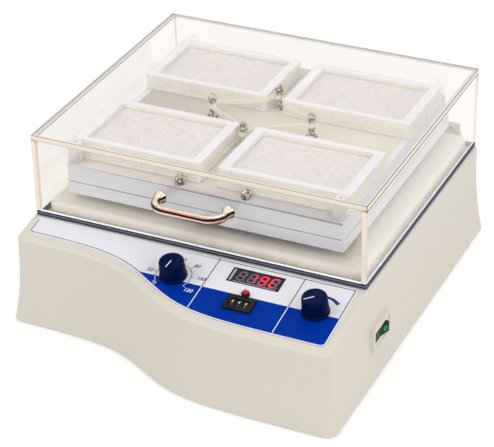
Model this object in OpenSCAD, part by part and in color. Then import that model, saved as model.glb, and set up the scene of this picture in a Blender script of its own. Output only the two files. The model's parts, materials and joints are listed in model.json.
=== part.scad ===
// Bench incubator and shaker for four microplates, under a hinged clear cover.
// The origin is the middle of the footprint on the bench, +Z is up and the front faces -Y.

/* [Cover] */
// Room at the left and right of the platform inside the cover
room_x = 21.7; // [20:0.1:28]
// Room in front of and behind the platform inside the cover
room_y = 9.95; // [9:0.05:16]
// Room above the band posts
head_room = 2.2; // [1:0.1:20]
// Thickness of the acrylic sheets
sheet_t = 5; // [3:0.5:5]
// Running gap under the closed cover
cover_gap = 0.3; // [0.3:0.1:1]

/* [Housing] */
// Height of the moulded housing from its rim to the ledge
housing_h = 90.2; // [86:0.1:110]
// Wall of the moulded housing
wall = 3; // [2:0.5:3.5]
// Ledge that shows outside the cover
ledge_rim = 2.6; // [2:0.1:5]
// How far the foot of the housing spreads beyond the ledge
flare = 7; // [4:0.5:9]
// How late the walls start to spread
flare_power = 2.5; // [2:0.1:3]
// Radius of the upright corners
corner_r = 6; // [5:0.5:9]
// Rounding along the top edge
edge_r = 3; // [1.5:0.5:3.5]
// Height of the raised deck above the ledge
deck_h = 13.3; // [12:0.1:16]
// Gap between the raised deck and the cover, in front and behind
deck_gap = 2.2; // [1.5:0.1:3]
// Gap between the raised deck and the cover, at the left and right
deck_gap_x = 4.4; // [2:0.1:6]
// Height of the rubber feet below the housing
foot_h = 2; // [1.6:0.1:6]
// Radius of the rubber feet
foot_r = 10; // [7:0.5:12]
// Thickness of the bottom plate
plate_t = 1.2; // [1:0.1:2]
// Height of the cover seal
seal_h = 5; // [4:0.1:8]

/* [Panel] */
// Slope of the control panel in degrees
panel_tilt = 9.4; // [6:0.1:12]
// Strip between the cover and the crease where the panel starts
crease_gap = 1.05; // [0.5:0.05:2.5]
// Depth of the panel in plan on the left side
panel_short = 33.5; // [30:0.5:40]
// Depth of the panel in plan on the right side
panel_long = 85.8; // [80:0.2:100]
// Place of the middle of the bend in the front
bend_x = -21.5; // [-30:0.5:-10]
// Softness of the bend in the front
bend_soft = 45; // [36:1:50]
// Border between the overlay and the front edge
overlay_border = 10.4; // [8:0.2:12]
// Thickness of the printed overlay
overlay_t = 0.4; // [0.2:0.1:0.6]

/* [Controls] */
// Radius of the two knobs
knob_r = 12.4; // [11:0.1:14]
// Height of the two knobs
knob_h = 17.2; // [14:0.1:20]
// Place of the timer knob from the middle
timer_x = -4; // [-10:0.5:2]
// Distance of the timer knob in front of the ledge
timer_y = 35; // [33:0.5:40]
// Place of the speed knob from the middle
speed_x = 131.6; // [126:0.2:134]
// Distance of the speed knob in front of the ledge
speed_y = 38.2; // [34:0.2:46]
// Width of the temperature display
display_w = 48; // [44:1:56]
// Depth of the temperature display
display_d = 17; // [15:0.5:20]
// Place of the display and the time switch from the middle
display_x = 66.6; // [60:0.2:70]
// Distance of the display in front of the ledge
display_y = 16.8; // [15:0.1:18]
// Pitch of the three thumbwheels
wheel_pitch = 6.3; // [6:0.1:7]
// Radius of the thumbwheels
wheel_r = 7.2; // [6.6:0.1:7.2]
// Distance of the time switch in front of the ledge
thumb_y = 50.6; // [49:0.2:54]
// Length of the power switch frame
switch_l = 31; // [29:0.5:33]
// Height of the power switch frame
switch_h = 14; // [13:0.5:15]

/* [Platform] */
// Height of the lower pan of the platform
pan_h = 11.2; // [10:0.1:14]
// Height of the seam between pan and tray
seam_h = 1.2; // [0.6:0.1:2]
// Height of the heated tray above the seam
tray_h = 16.9; // [15:0.1:20]
// Gap between the deck and the platform
platform_gap = 9.6; // [9:0.1:12]
// Diameter of the orbit
orbit_d = 3; // [1:0.5:4]

/* [Plates] */
// Length of a microplate
plate_l = 127.76; // [127:0.01:128]
// Width of a microplate
plate_w = 85.48; // [85:0.01:86]
// Height of a microplate
plate_h = 15.4; // [14.2:0.1:16]
// Depth of the wells field below the rim
field_sunk = 5.4; // [4.6:0.1:6]
// Pitch of the wells
well_pitch = 9; // [8.9:0.1:9]
// Radius of a well
well_r = 3.45; // [3:0.05:3.6]
// How far a plate overhangs the end of the platform
plate_over = 0.56; // [0:0.01:1]
// Gap between a plate and its stops
stop_gap = 0.1; // [0.1:0.01:0.3]
// Edge of the platform outside its stops
stop_edge = 0.12; // [0.1:0.01:4]
// Gap between the left and right plates
plate_gap_x = 15; // [12:0.5:18]
// Gap between the front and back plates
plate_gap_y = 54; // [50:0.5:58]
// Distance of the side band posts from the middle
post_x = 50; // [44:1:56]
// Distance of the front and back band posts from the middle
post_y = 40; // [36:1:44]
// Height of a band post
post_h = 23; // [20:0.5:25]
// Radius of the clear corner stops
stop_r = 6.4; // [5.5:0.1:6.4]
// Height of the clear corner stops
stop_h = 16.5; // [12:0.5:20]

/* [Handle] */
// Distance between the feet of the handle
handle_l = 66; // [60:1:90]
// Height of the handle above the foot of the cover
handle_z = 42; // [30:1:55]
// How far the handle stands out
handle_out = 24; // [22:1:30]
// Radius of the handle's bar
handle_r = 4; // [3:0.25:4.5]

/* [Hinge] */
// Distance of each hinge from the middle
hinge_x = 127; // [80:1:135]
// Width of a hinge
hinge_w = 30; // [24:1:40]
// Radius of the hinge barrel
barrel_r = 3; // [2.6:0.1:3.2]
// Radius of the hinge pin
hinge_pin_r = 1.5; // [1.2:0.1:1.6]

/* [Fits] */
// Radial clearance of a shaft in its bearing
run_gap = 0.05; // [0.03:0.01:0.08]
// Radial gap of a piece pressed into its seat
seat_gap = 0.02; // [0.01:0.01:0.05]
// Clearance between parts that do not touch
free_gap = 0.3; // [0.25:0.05:0.4]

/* [Hidden] */
$fn = 48;
// A cut reaches this far past the face that it opens
over = 1;
// The plates set the platform, and the platform sets the cover
platform_w = 2 * (plate_l - plate_over) + plate_gap_x;
platform_d = plate_gap_y + 2 * (plate_w + stop_gap + 2 * stop_r + stop_edge);
cover_w = platform_w + 2 * (room_x + sheet_t);
cover_d = platform_d + 2 * (room_y + sheet_t);
// Heights
ledge_z = foot_h + housing_h;
deck_z = ledge_z + deck_h;
cover_z = ledge_z + seal_h + cover_gap;
pan_z = deck_z + platform_gap;
tray_z = pan_z + pan_h + seam_h;
stage_z = tray_z + tray_h;
cover_h = stage_z + post_h + head_room + sheet_t - cover_z;
floor_z = foot_h + free_gap + plate_t;
// Plan of the housing, from the middle of the chamber
ledge_x = cover_w / 2 + ledge_rim;
ledge_back = cover_d / 2 + ledge_rim;
ledge_front = cover_d / 2 + crease_gap;
reach_back = ledge_back + flare;
panel_front = ledge_front + panel_long;
reach_front = panel_front + flare;
cy = (reach_front - reach_back) / 2;
line_y = cy - ledge_front;
// The bend of the front
bend_mid = (panel_short + panel_long) / 2;
bend_half = (panel_long - panel_short) / 2;
// Raised deck
deck_w = cover_w - 2 * (sheet_t + deck_gap_x);
deck_d = cover_d - 2 * (sheet_t + deck_gap);
deck_corner = 8;
deck_round = 4.5;
// Fasteners
screw_r = 1.5;
// Crank and bearings
crank_e = orbit_d / 2;
stage_y = cy + crank_e;
crank_disc_t = 5;
flange_t = 1.2;
disc_z = deck_z + flange_t + free_gap;
disc_top = disc_z + crank_disc_t;
drive_journal_r = 6;
drive_pin_r = 5;
drive_seat_r = 11;
drive_disc_r = 15;
weight_r = 32;
idler_journal_r = 4;
idler_seat_r = 8;
idler_disc_r = 11;
pin_top = tray_z - 2;
bearing_h = 7;
idler_x = platform_w / 2 - 39.7;
idler_y = platform_d / 2 - 40.5;
idler_places = [[-idler_x, idler_y], [idler_x, idler_y], [0, -idler_y]];
motor_shaft_r = 3;
motor_r = 21;
motor_h = 50;
bracket_t = 2.5;
bracket_z = deck_z - wall - 20;
bracket_hole = 32;
post_r = 5;
// Screw posts of the bottom plate and the feet, from the middle of the chamber
rim_post_x = ledge_x - 4.5;
rim_post_back = ledge_back - 33;
rim_post_left = 31.5 - ledge_front;
rim_post_right = 62.3 - panel_front;
rim_posts = [
    [-1, rim_post_back], [1, rim_post_back], [-1, -20], [1, -20], [-1, rim_post_left], [1, rim_post_right]
];
foot_x = ledge_x - 29;
foot_back = ledge_back - 18;
foot_places = [
    [-foot_x, foot_back], [foot_x, foot_back], [-foot_x, -ledge_front - 8.5], [foot_x, 27.3 - panel_front]
];
// Controls
knob_lift = overlay_t + 0.6;
shaft_r = 3;
bush_r = 4.8;
led_y = thumb_y - 12.5;
led_r = 2.5;
thumb_w = 3 * wheel_pitch + 7.2;
wheel_room = 0.3;
case_lip = 0.8;
case_d = 2 * (wheel_r + wheel_room + 0.5);
case_w = thumb_w - 2 * case_lip;
thumb_d = case_d + 2 * case_lip;
thumb_up = 2.5;
wheel_t = wheel_pitch - 1.1;
wheel_axis_z = overlay_t + thumb_up - wheel_r * cos(18) - 0.1;
wheel_axle_r = 1.5;
// Power switch
switch_y = line_y + 21.5;
switch_z = 39.5;
shroud_l = switch_l + 9;
shroud_h = switch_h + 11;
shroud_x = ledge_x + flare - 1.5;
switch_floor_x = shroud_x - 2.9;
switch_face_x = switch_floor_x + 1.4;
rocker_l = switch_l - 7;
rocker_half = 8;
rocker_room = 0.3;
rocker_h = switch_h - 3.8;
pivot_r = 1.5;
pivot_x = switch_face_x - 3.4;
// Control board on its four posts
board_w = 104;
board_d = 74;
board_lift = 8;
board_x = 60;
board_y = line_y - 8.5;
// Power inlet
inlet_x = 54 - ledge_x;
inlet_z = 48;
inlet_w = 28;
inlet_h = 20;
inlet_face_y = cy + ledge_back + 3.2;
inlet_depth = 17;
// Plates
plate_inset = 1;
plate_round = 2.6;
plate_cx = plate_gap_x / 2 + plate_l / 2;
plate_cy = plate_gap_y / 2 + plate_w / 2;
field_l = 11 * well_pitch + 8.8;
field_w = 7 * well_pitch + 8.5;
// Band posts and band
post_stem_r = 2.4;
band_t = 1;
band_h = 4.5;
peg_near = 24;
peg_far = 40;
peg_places = [[-peg_near, -1], [peg_far, -1], [peg_near, 1], [-peg_far, 1]];
peg_r = 4.4;
peg_h = 7.6;
// Hinge
hinge_y = cy + cover_d / 2 + barrel_r + free_gap;
hinge_z = cover_z + 1.5;
leaf_t = 1.8;
leaf_h = 14;
knuckle_w = hinge_w / 3;
base_leaf_y = cy + ledge_back + free_gap;
base_screw_z = hinge_z - leaf_h + 3;
cover_screw_z = hinge_z + leaf_h - 4;

// Front of the housing in plan: a soft step from the short to the long side
function soft_step(t) = 1 - 2 / (exp(2 * t) + 1);
function front_y(x) = line_y - bend_mid - bend_half * soft_step((x - bend_x) / bend_soft);
// Height of the top at a depth: the ledge, then the sloping panel
function top_z(y) = ledge_z + min(0, (y - line_y) * tan(panel_tilt));

corner_steps = 5;
front_steps = 40;
function arc_points(x, y, r, from) =
    [for (i = [0 : corner_steps]) let(a = from + 90 * i / corner_steps) [x + r * cos(a), y + r * sin(a)]];
// Outline of the housing in plan, grown outwards by g, anticlockwise from the left end of the panel line
function outline(g) =
    let(
        r = corner_r + g / 2,
        hx = ledge_x + g,
        by = cy + ledge_back + g,
        cx = hx - r
    )
    concat(
        [[-hx, line_y]],
        arc_points(-cx, front_y(-cx) - g + r, r, 180),
        [for (i = [1 : front_steps - 1]) let(x = -cx + 2 * cx * i / front_steps) [x, front_y(x) - g]],
        arc_points(cx, front_y(cx) - g + r, r, 270),
        [[hx, line_y]],
        arc_points(cx, by - r, r, 0),
        arc_points(-cx, by - r, r, 90)
    );
right_end = 2 * corner_steps + front_steps + 2;
outline_n = len(outline(0));

// How far the wall has spread at a share of its height
function spread(t) = flare * pow(1 - t, flare_power);
skin_steps = 7;
round_steps = 4;
// Ring of the wall at a share of its height, moved in by inset, under a top that lies lower by drop
function wall_ring(t, inset, drop) =
    let(foot = outline(spread(t) - inset), head = outline(-inset))
    [for (i = [0 : outline_n - 1])
        [foot[i].x, foot[i].y, foot_h + t * (top_z(head[i].y) - drop - foot_h)]];
function edge_ring(a) =
    [for (p = outline(-edge_r * (1 - cos(a)))) [p.x, p.y, top_z(p.y) - edge_r * (1 - sin(a))]];

// The shell runs from its ceiling down the inside, across the foot and up the outside to the rounded edge
module shell() {
    inside = [for (i = [skin_steps : -1 : 0]) wall_ring(i / skin_steps, wall, wall)];
    outside = [for (i = [0 : skin_steps]) wall_ring(i / skin_steps, 0, edge_r)];
    edge = [for (i = [1 : round_steps]) edge_ring(90 * i / round_steps)];
    rings = concat(inside, outside, edge);
    n = outline_n;
    last = (len(rings) - 1) * n;
    sides = [for (j = [0 : len(rings) - 2], i = [0 : n - 1], half = [0, 1])
        let(a = j * n + i, b = j * n + (i + 1) % n)
        half == 0 ? [a, a + n, b + n] : [a, b + n, b]];
    panel = [for (i = [right_end : -1 : 0]) last + i];
    ledge = concat([last], [for (i = [n - 1 : -1 : right_end]) last + i]);
    panel_ceiling = [for (i = [0 : right_end]) i];
    ledge_ceiling = concat([for (i = [right_end : n - 1]) i], [0]);
    polyhedron(
        points = [for (ring = rings) each ring],
        faces = concat(sides, [panel, ledge, panel_ceiling, ledge_ceiling])
    );
}

// Rectangle with round corners, centred
module round_square(w, d, r) {
    square([w - 2 * r, d], center = true);
    square([w, d - 2 * r], center = true);
    for (x = [-1, 1], y = [-1, 1]) translate([x * (w / 2 - r), y * (d / 2 - r)]) circle(r = r);
}

module ring(outer, inner, h) {
    difference() {
        cylinder(r = outer, h = h);
        translate([0, 0, -over]) cylinder(r = inner, h = h + 2 * over);
    }
}

// Moves a piece to a place on the panel, its Z square to the panel's face
module on_panel(x, front) {
    translate([x, line_y - front, top_z(line_y - front)]) rotate([panel_tilt, 0, 0]) children();
}

// Pan head screw with its head below z = 0 and its shank above
module screw(length, r = screw_r) {
    difference() {
        union() {
            cylinder(r = r - seat_gap, h = length);
            translate([0, 0, -1.4]) cylinder(r1 = 2 * r - 0.5, r2 = 2 * r, h = 1.4);
        }
        for (a = [0, 90]) rotate([0, 0, a]) translate([-1.5, -0.3, -1.4 - over]) cube([3, 0.6, over + 0.7]);
    }
}

module deck_form() {
    hull() for (x = [-1, 1], y = [-1, 1])
        translate([x * (deck_w / 2 - deck_corner), cy + y * (deck_d / 2 - deck_corner), ledge_z - 1])
            rotate_extrude($fn = 32) {
                square([deck_corner - deck_round, deck_h + 1]);
                square([deck_corner, deck_h + 1 - deck_round]);
                translate([deck_corner - deck_round, deck_h + 1 - deck_round])
                    intersection() {
                        circle(r = deck_round, $fn = 24);
                        square(deck_round);
                    }
            }
}

module deck_holes() {
    translate([0, cy, deck_z - bearing_h]) cylinder(r = drive_seat_r + seat_gap, h = bearing_h + over);
    translate([0, cy, bracket_z]) cylinder(r = drive_seat_r - 2, h = deck_z - bracket_z);
    for (p = idler_places) translate([p.x, cy + p.y, deck_z - bearing_h - 2])
        cylinder(r = idler_seat_r + seat_gap, h = bearing_h + 2 + over);
}

module housing_posts() {
    translate([0, cy, deck_z - bearing_h - 3])
        cylinder(r = drive_seat_r + 4, h = bearing_h + 3 - wall + 0.5);
    for (p = idler_places) translate([p.x, cy + p.y, deck_z - bearing_h - 2])
        cylinder(r = idler_seat_r + 3, h = bearing_h + 2 - wall + 0.5);
    for (x = [-1, 1], y = [-1, 1])
        translate([x * bracket_hole, cy + y * bracket_hole, bracket_z + bracket_t])
            cylinder(r = post_r, h = deck_z - wall - bracket_z - bracket_t + 0.5);
    for (p = rim_posts) translate([p.x * rim_post_x, cy + p.y, floor_z])
        cylinder(r = 6.5, h = 22);
}

module post_holes() {
    for (x = [-1, 1], y = [-1, 1])
        translate([x * bracket_hole, cy + y * bracket_hole, bracket_z]) cylinder(r = screw_r, h = 14);
    for (p = rim_posts) translate([p.x * (rim_post_x - 1), cy + p.y, 0])
        cylinder(r = screw_r, h = floor_z + 14);
}

// Raised frame round the power switch on the right wall
module switch_shroud() {
    hull() for (y = [-1, 1], z = [-1, 1])
        translate([ledge_x - wall, switch_y + y * (shroud_l / 2 - 2), switch_z + z * (shroud_h / 2 - 2)])
            rotate([0, 90, 0]) {
                cylinder(r = 2, h = shroud_x - ledge_x + wall - 0.8, $fn = 24);
                cylinder(r = 1.2, h = shroud_x - ledge_x + wall, $fn = 24);
            }
}

module switch_opening() {
    translate([ledge_x - 40, switch_y - switch_l / 2 + 2, switch_z - switch_h / 2 + 0.8])
        cube([60, switch_l - 4, switch_h - 1.6]);
    hull() for (s = [0, 1])
        translate([switch_floor_x + s * (shroud_x - switch_floor_x + 0.1), switch_y, switch_z])
            cube([0.02, switch_l + 0.6 + 3 * s, switch_h + 0.6 + 4 * s], center = true);
}

module hinge_holes() {
    screw_places(base_screw_z) translate([0, cy + ledge_back - wall - over, 0])
        rotate([-90, 0, 0]) cylinder(r = screw_r, h = wall + 3);
}

module inlet_pad() {
    translate([inlet_x - inlet_w / 2 - 12, cy + ledge_back - wall, inlet_z - inlet_h / 2 - 5])
        cube([inlet_w + 24, inlet_face_y - cy - ledge_back + wall, inlet_h + 10]);
}

module panel_cuts(depth) {
    on_panel(display_x, display_y) cube([display_w + 0.4, display_d + 0.4, depth], center = true);
    on_panel(display_x, thumb_y) cube([case_w + 0.4, case_d + 0.4, depth], center = true);
    on_panel(display_x, led_y) cylinder(r = led_r + 0.6, h = depth, center = true);
    on_panel(timer_x, timer_y) cylinder(r = bush_r + 0.2, h = depth, center = true);
    on_panel(speed_x, speed_y) cylinder(r = bush_r + 0.2, h = depth, center = true);
}

module housing() {
    color("ivory") difference() {
        union() {
            difference() {
                union() {
                    shell();
                    deck_form();
                }
                translate([-deck_w / 2 + wall + 1, cy - deck_d / 2 + wall + 1, ledge_z - 2 * wall])
                    cube([deck_w - 2 * wall - 2, deck_d - 2 * wall - 2, deck_h + wall]);
            }
            switch_shroud();
            inlet_pad();
            housing_posts();
        }
        deck_holes();
        post_holes();
        hinge_holes();
        switch_opening();
        panel_cuts(40);
        translate([inlet_x - inlet_w / 2 - 0.2, inlet_face_y - 20, inlet_z - inlet_h / 2 - 0.2])
            cube([inlet_w + 0.4, 20 + over, inlet_h + 0.4]);
    }
}

module bottom_plate() {
    color("gainsboro") difference() {
        union() {
            translate([0, 0, foot_h + free_gap]) linear_extrude(plate_t) polygon(outline(flare - wall - 1));
            for (x = [-1, 1], y = [-1, 1])
                translate([board_x + x * (board_w / 2 - 7), board_y + y * (board_d / 2 - 7), floor_z])
                    cylinder(r = 3, h = board_lift);
        }
        for (p = rim_posts) translate([p.x * (rim_post_x - 1), cy + p.y, 0])
            cylinder(r = screw_r + 0.2, h = 10);
        for (p = foot_places) translate([p.x, cy + p.y, 0]) cylinder(r = 3.1, h = 10);
    }
}

module bottom_screws() {
    color("silver") for (p = rim_posts)
        translate([p.x * (rim_post_x - 1), cy + p.y, foot_h + free_gap]) screw(12);
}

module feet() {
    color("dimgray") for (p = foot_places) translate([p.x, cy + p.y, 0])
        rotate_extrude() polygon([
            [0, 0], [foot_r - 1.5, 0], [foot_r - 0.5, 0.6], [foot_r, foot_h + free_gap],
            [3, foot_h + free_gap], [3, floor_z], [3.6, floor_z + 0.4], [2, floor_z + 3], [0, floor_z + 3]
        ]);
}

// The overlay lies in the panel's own plane, where v is the distance down the slope
function slope_v(y) = (y - line_y) / cos(panel_tilt);
function overlay_edge(x) = slope_v(front_y(x) + overlay_border);
overlay_left = ledge_x - 7;
overlay_right = ledge_x - 8.8;
overlay_r = 5;
module overlay_shape() {
    xl = -overlay_left + overlay_r;
    xr = overlay_right - overlay_r;
    polygon(concat(
        [[-overlay_left, -1.2]],
        arc_points(xl, overlay_edge(xl) + overlay_r, overlay_r, 180),
        [for (i = [1 : front_steps - 1]) let(x = xl + (xr - xl) * i / front_steps) [x, overlay_edge(x)]],
        arc_points(xr, overlay_edge(xr) + overlay_r, overlay_r, 270),
        [[overlay_right, -1.2]]
    ));
}

module panel_overlay() {
    color("royalblue") difference() {
        on_panel(0, 0) linear_extrude(overlay_t) overlay_shape();
        panel_cuts(40);
    }
}

// Ribbed rubber frame that the cover closes on
module cover_seal() {
    lips = [[0, 1.3, 0], [1.3, 1.2, 0.8], [2.5, 1.5, 0], [4, 1, 0.5]];
    color("slategray") for (l = lips)
        translate([0, cy, ledge_z + l[0] * seal_h / 5]) linear_extrude(l[1] * seal_h / 5) difference() {
            round_square(cover_w - 2 * l[2], cover_d - 2 * l[2], 1.5);
            round_square(cover_w - 2 * sheet_t - 1, cover_d - 2 * sheet_t - 1, 1);
        }
}

module display_module() {
    color("black") on_panel(display_x, display_y) {
        translate([0, 0, -5.7]) cube([display_w - 0.6, display_d - 0.6, 8], center = true);
        translate([0, 0, -10.5]) cube([display_w + 10, display_d + 10, 1.6], center = true);
    }
}

module display_window() {
    color("darkred", 0.6) on_panel(display_x, display_y)
        translate([-display_w / 2, -display_d / 2, -1.6]) cube([display_w, display_d, 1.6 + overlay_t]);
}

module thumbwheel_case() {
    color("black") on_panel(display_x, thumb_y) difference() {
        union() {
            translate([-thumb_w / 2, -thumb_d / 2, overlay_t]) cube([thumb_w, thumb_d, thumb_up]);
            translate([-case_w / 2, -case_d / 2, wheel_axis_z - wheel_r - 3])
                cube([case_w, case_d, wheel_r + 4 + overlay_t - wheel_axis_z]);
        }
        for (i = [-1 : 1]) translate([i * wheel_pitch, 0, wheel_axis_z]) difference() {
            translate([-wheel_pitch / 2 + 0.25, 0, 0]) union() {
                rotate([0, 90, 0]) cylinder(r = wheel_r + wheel_room, h = wheel_pitch - 0.5);
                translate([0, -wheel_r * 0.55, 0]) cube([wheel_pitch - 0.5, wheel_r * 1.1, wheel_r + 6]);
            }
            rotate([0, 90, 0]) cylinder(r = wheel_axle_r, h = 2 * wheel_pitch, center = true);
        }
    }
}

module thumbwheel(i) {
    color("black") on_panel(display_x + (i - 2) * wheel_pitch, thumb_y)
        translate([-wheel_t / 2, 0, wheel_axis_z]) rotate([0, 90, 0]) difference() {
            rotate([0, 0, 18]) cylinder(r = wheel_r, h = wheel_t, $fn = 10);
            translate([0, 0, -over]) cylinder(r = wheel_axle_r + run_gap, h = wheel_t + 2 * over);
        }
}
module thumbwheel_1() { thumbwheel(1); }
module thumbwheel_2() { thumbwheel(2); }
module thumbwheel_3() { thumbwheel(3); }

module led_lens() {
    color("red") on_panel(display_x, led_y) {
        translate([0, 0, -4]) cylinder(r = led_r, h = 8);
        translate([0, 0, 4]) sphere(r = led_r);
    }
}

module led_holder() {
    color("black") on_panel(display_x, led_y) {
        translate([0, 0, overlay_t]) ring(led_r + 1.2, led_r + seat_gap, 3);
        translate([0, 0, -4]) ring(led_r + 0.5, led_r + seat_gap, 4 + overlay_t);
    }
}

module timer_movement() {
    color("darkgray") on_panel(timer_x, timer_y) difference() {
        union() {
            translate([0, 0, -wall - 27]) linear_extrude(27 - free_gap) round_square(38, 34, 3);
            translate([0, 0, -wall - 1]) cylinder(r = bush_r, h = wall + 4);
        }
        translate([0, 0, -wall - 20]) cylinder(r = shaft_r + run_gap, h = 40);
    }
}

module speed_potentiometer() {
    color("darkgray") on_panel(speed_x, speed_y) difference() {
        union() {
            translate([0, 0, -wall - 13]) cylinder(r = 12, h = 13 - free_gap);
            translate([0, 0, -wall - 1]) cylinder(r = bush_r, h = wall + 4);
            translate([-8, -18, -wall - 11]) cube([16, 12, 2]);
        }
        translate([0, 0, -wall - 10]) cylinder(r = shaft_r + run_gap, h = 30);
    }
}

// Knob with a fluted grip, a skirt, a hollow for the bushing and a slot for its pointer line
module knob(turn) {
    bush_room = 5;
    difference() {
        rotate_extrude() polygon(concat(
            [[0, 0], [knob_r, 0], [knob_r, 1.6], [knob_r - 0.6, 2.4], [knob_r * 0.9, knob_h - 1.8]],
            [for (a = [20 : 20 : 80]) [knob_r * 0.9 - 1.8 * (1 - cos(a)), knob_h - 1.8 * (1 - sin(a))]],
            [[knob_r * 0.9 - 1.8, knob_h], [0, knob_h - 0.4]]
        ));
        for (i = [0 : 23]) rotate([0, 0, i * 15]) translate([knob_r + 0.1, 0, 2.6])
            rotate([0, -4.2, 0]) cylinder(r = 0.9, h = knob_h);
        translate([0, 0, -over]) cylinder(r = bush_r + 3, h = bush_room + over);
        translate([0, 0, -over]) cylinder(r = shaft_r + seat_gap, h = knob_h - 3 + over);
        rotate([0, 0, turn]) translate([-0.55, 0, knob_h - 0.6]) cube([1.1, knob_r * 0.8, 2]);
    }
}

module shaft(length) {
    translate([0, 0, knob_h - 3 - length]) cylinder(r = shaft_r, h = length);
}

// Rest of each pointer, anticlockwise from the top of its dial
timer_pointer = 176;
speed_pointer = 130;
module on_timer() {
    on_panel(timer_x, timer_y) translate([0, 0, knob_lift]) children();
}
module on_speed() {
    on_panel(speed_x, speed_y) translate([0, 0, knob_lift]) children();
}
module timer_knob() {
    color("midnightblue") on_timer() knob(timer_pointer);
}
module timer_shaft() {
    color("goldenrod") on_timer() shaft(30);
}
module speed_knob() {
    color("midnightblue") on_speed() knob(speed_pointer);
}
module speed_shaft() {
    color("silver") on_speed() shaft(26);
}

module switch_frame() {
    color("black") difference() {
        union() {
            translate([switch_floor_x, switch_y - switch_l / 2, switch_z - switch_h / 2])
                cube([switch_face_x - switch_floor_x, switch_l, switch_h]);
            translate([switch_floor_x - 20, switch_y - switch_l / 2 + 2.2, switch_z - switch_h / 2 + 1])
                cube([21, switch_l - 4.4, switch_h - 2]);
        }
        translate([switch_face_x - 12, switch_y - rocker_l / 2 - 0.9, switch_z - switch_h / 2 + 1.6])
            cube([12 + over, rocker_l + 1.8, rocker_h + 2 * rocker_room]);
        translate([pivot_x, switch_y, switch_z])
            cylinder(r = pivot_r + run_gap, h = switch_h - 1.9, center = true);
    }
}

// Rocker with two flat halves, pressed in at its front end
module power_rocker() {
    rise = rocker_l / 2 * tan(rocker_half);
    color("seagreen") translate([pivot_x, switch_y, switch_z]) rotate([0, 0, -rocker_half]) union() {
        cylinder(r = pivot_r, h = switch_h - 2.4, center = true);
        linear_extrude(rocker_h, center = true) polygon([
            [3, 0], [3 + rise, rocker_l / 2], [1.6, rocker_l / 2], [-4.5, rocker_l / 2 - 3.5],
            [-4.5, 3.5 - rocker_l / 2], [1.6, -rocker_l / 2], [3 + rise, -rocker_l / 2]
        ]);
    }
}

module power_inlet() {
    color("black") translate([inlet_x, inlet_face_y, inlet_z]) rotate([-90, 0, 0]) {
        difference() {
            union() {
                linear_extrude(2.5) round_square(inlet_w + 20, inlet_h + 5, 3);
                translate([-inlet_w / 2, -inlet_h / 2, 1.7 - inlet_depth])
                    cube([inlet_w, inlet_h, inlet_depth]);
            }
            translate([0, 0, 3.7 - inlet_depth]) linear_extrude(inlet_depth) polygon([
                [-12.2, -8.3], [12.2, -8.3], [12.2, 3.6], [7.8, 8.3], [-7.8, 8.3], [-12.2, 3.6]
            ]);
        }
        for (p = [[-7, 2], [7, 2], [0, -2]]) translate([p.x - 1, p.y - 2, 3 - inlet_depth]) cube([2, 4, 11]);
    }
}

// Hinges: the base leaf has the two outer knuckles, the cover leaf the middle one
module barrel(from, width, bore) {
    translate([from, hinge_y, hinge_z]) rotate([0, 90, 0]) difference() {
        cylinder(r = barrel_r, h = width);
        translate([0, 0, -over]) cylinder(r = bore, h = width + 2 * over);
    }
}

module screw_places(z) {
    for (s = [-1, 1], x = [-1, 1]) translate([s * hinge_x + x * hinge_w / 4, 0, z]) children();
}

module hinge_leaves_base() {
    color("whitesmoke") difference() {
        for (s = [-1, 1]) translate([s * hinge_x - hinge_w / 2, 0, 0]) {
            for (k = [0, 2])
                barrel(k * knuckle_w + (k == 2 ? free_gap : 0), knuckle_w - free_gap, hinge_pin_r);
            difference() {
                translate([0, base_leaf_y, hinge_z - 2.5 - leaf_h]) cube([hinge_w, leaf_t, leaf_h + 2.5]);
                translate([knuckle_w - free_gap, base_leaf_y - over, hinge_z - barrel_r - free_gap])
                    cube([knuckle_w + 2 * free_gap, leaf_t + 2 * over, 9]);
                translate([-over, hinge_y, hinge_z]) rotate([0, 90, 0])
                    cylinder(r = (barrel_r + hinge_pin_r) / 2, h = hinge_w + 2 * over);
            }
        }
        screw_places(base_screw_z) translate([0, base_leaf_y - over, 0])
            rotate([-90, 0, 0]) cylinder(r = screw_r, h = 10);
    }
}

module hinge_leaves_cover() {
    leaf_y = cy + cover_d / 2;
    color("whitesmoke") difference() {
        for (s = [-1, 1]) translate([s * hinge_x - hinge_w / 2, 0, 0]) {
            barrel(knuckle_w, knuckle_w, hinge_pin_r + run_gap);
            difference() {
                translate([0, leaf_y, hinge_z]) cube([hinge_w, leaf_t, leaf_h]);
                for (k = [0, 2]) translate([k * knuckle_w - over, leaf_y - over, hinge_z - over])
                    cube([knuckle_w + over, leaf_t + 2 * over, barrel_r + free_gap + over]);
                translate([-over, hinge_y, hinge_z]) rotate([0, 90, 0])
                    cylinder(r = (barrel_r + hinge_pin_r) / 2, h = hinge_w + 2 * over);
            }
        }
        screw_places(cover_screw_z) translate([0, leaf_y - over, 0])
            rotate([-90, 0, 0]) cylinder(r = screw_r, h = 10);
    }
}

module hinge_pins() {
    color("silver") for (s = [-1, 1])
        translate([s * hinge_x - hinge_w / 2, hinge_y, hinge_z]) rotate([0, 90, 0])
            cylinder(r = hinge_pin_r - seat_gap, h = hinge_w);
}

module hinge_screws_base() {
    color("silver") screw_places(base_screw_z) translate([0, base_leaf_y + leaf_t, 0])
        rotate([90, 0, 0]) screw(leaf_t + free_gap + wall);
}

module hinge_screws_cover() {
    color("silver") screw_places(cover_screw_z) translate([0, cy + cover_d / 2 + leaf_t, 0])
        rotate([90, 0, 0]) screw(leaf_t + sheet_t - 0.5);
}

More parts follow.
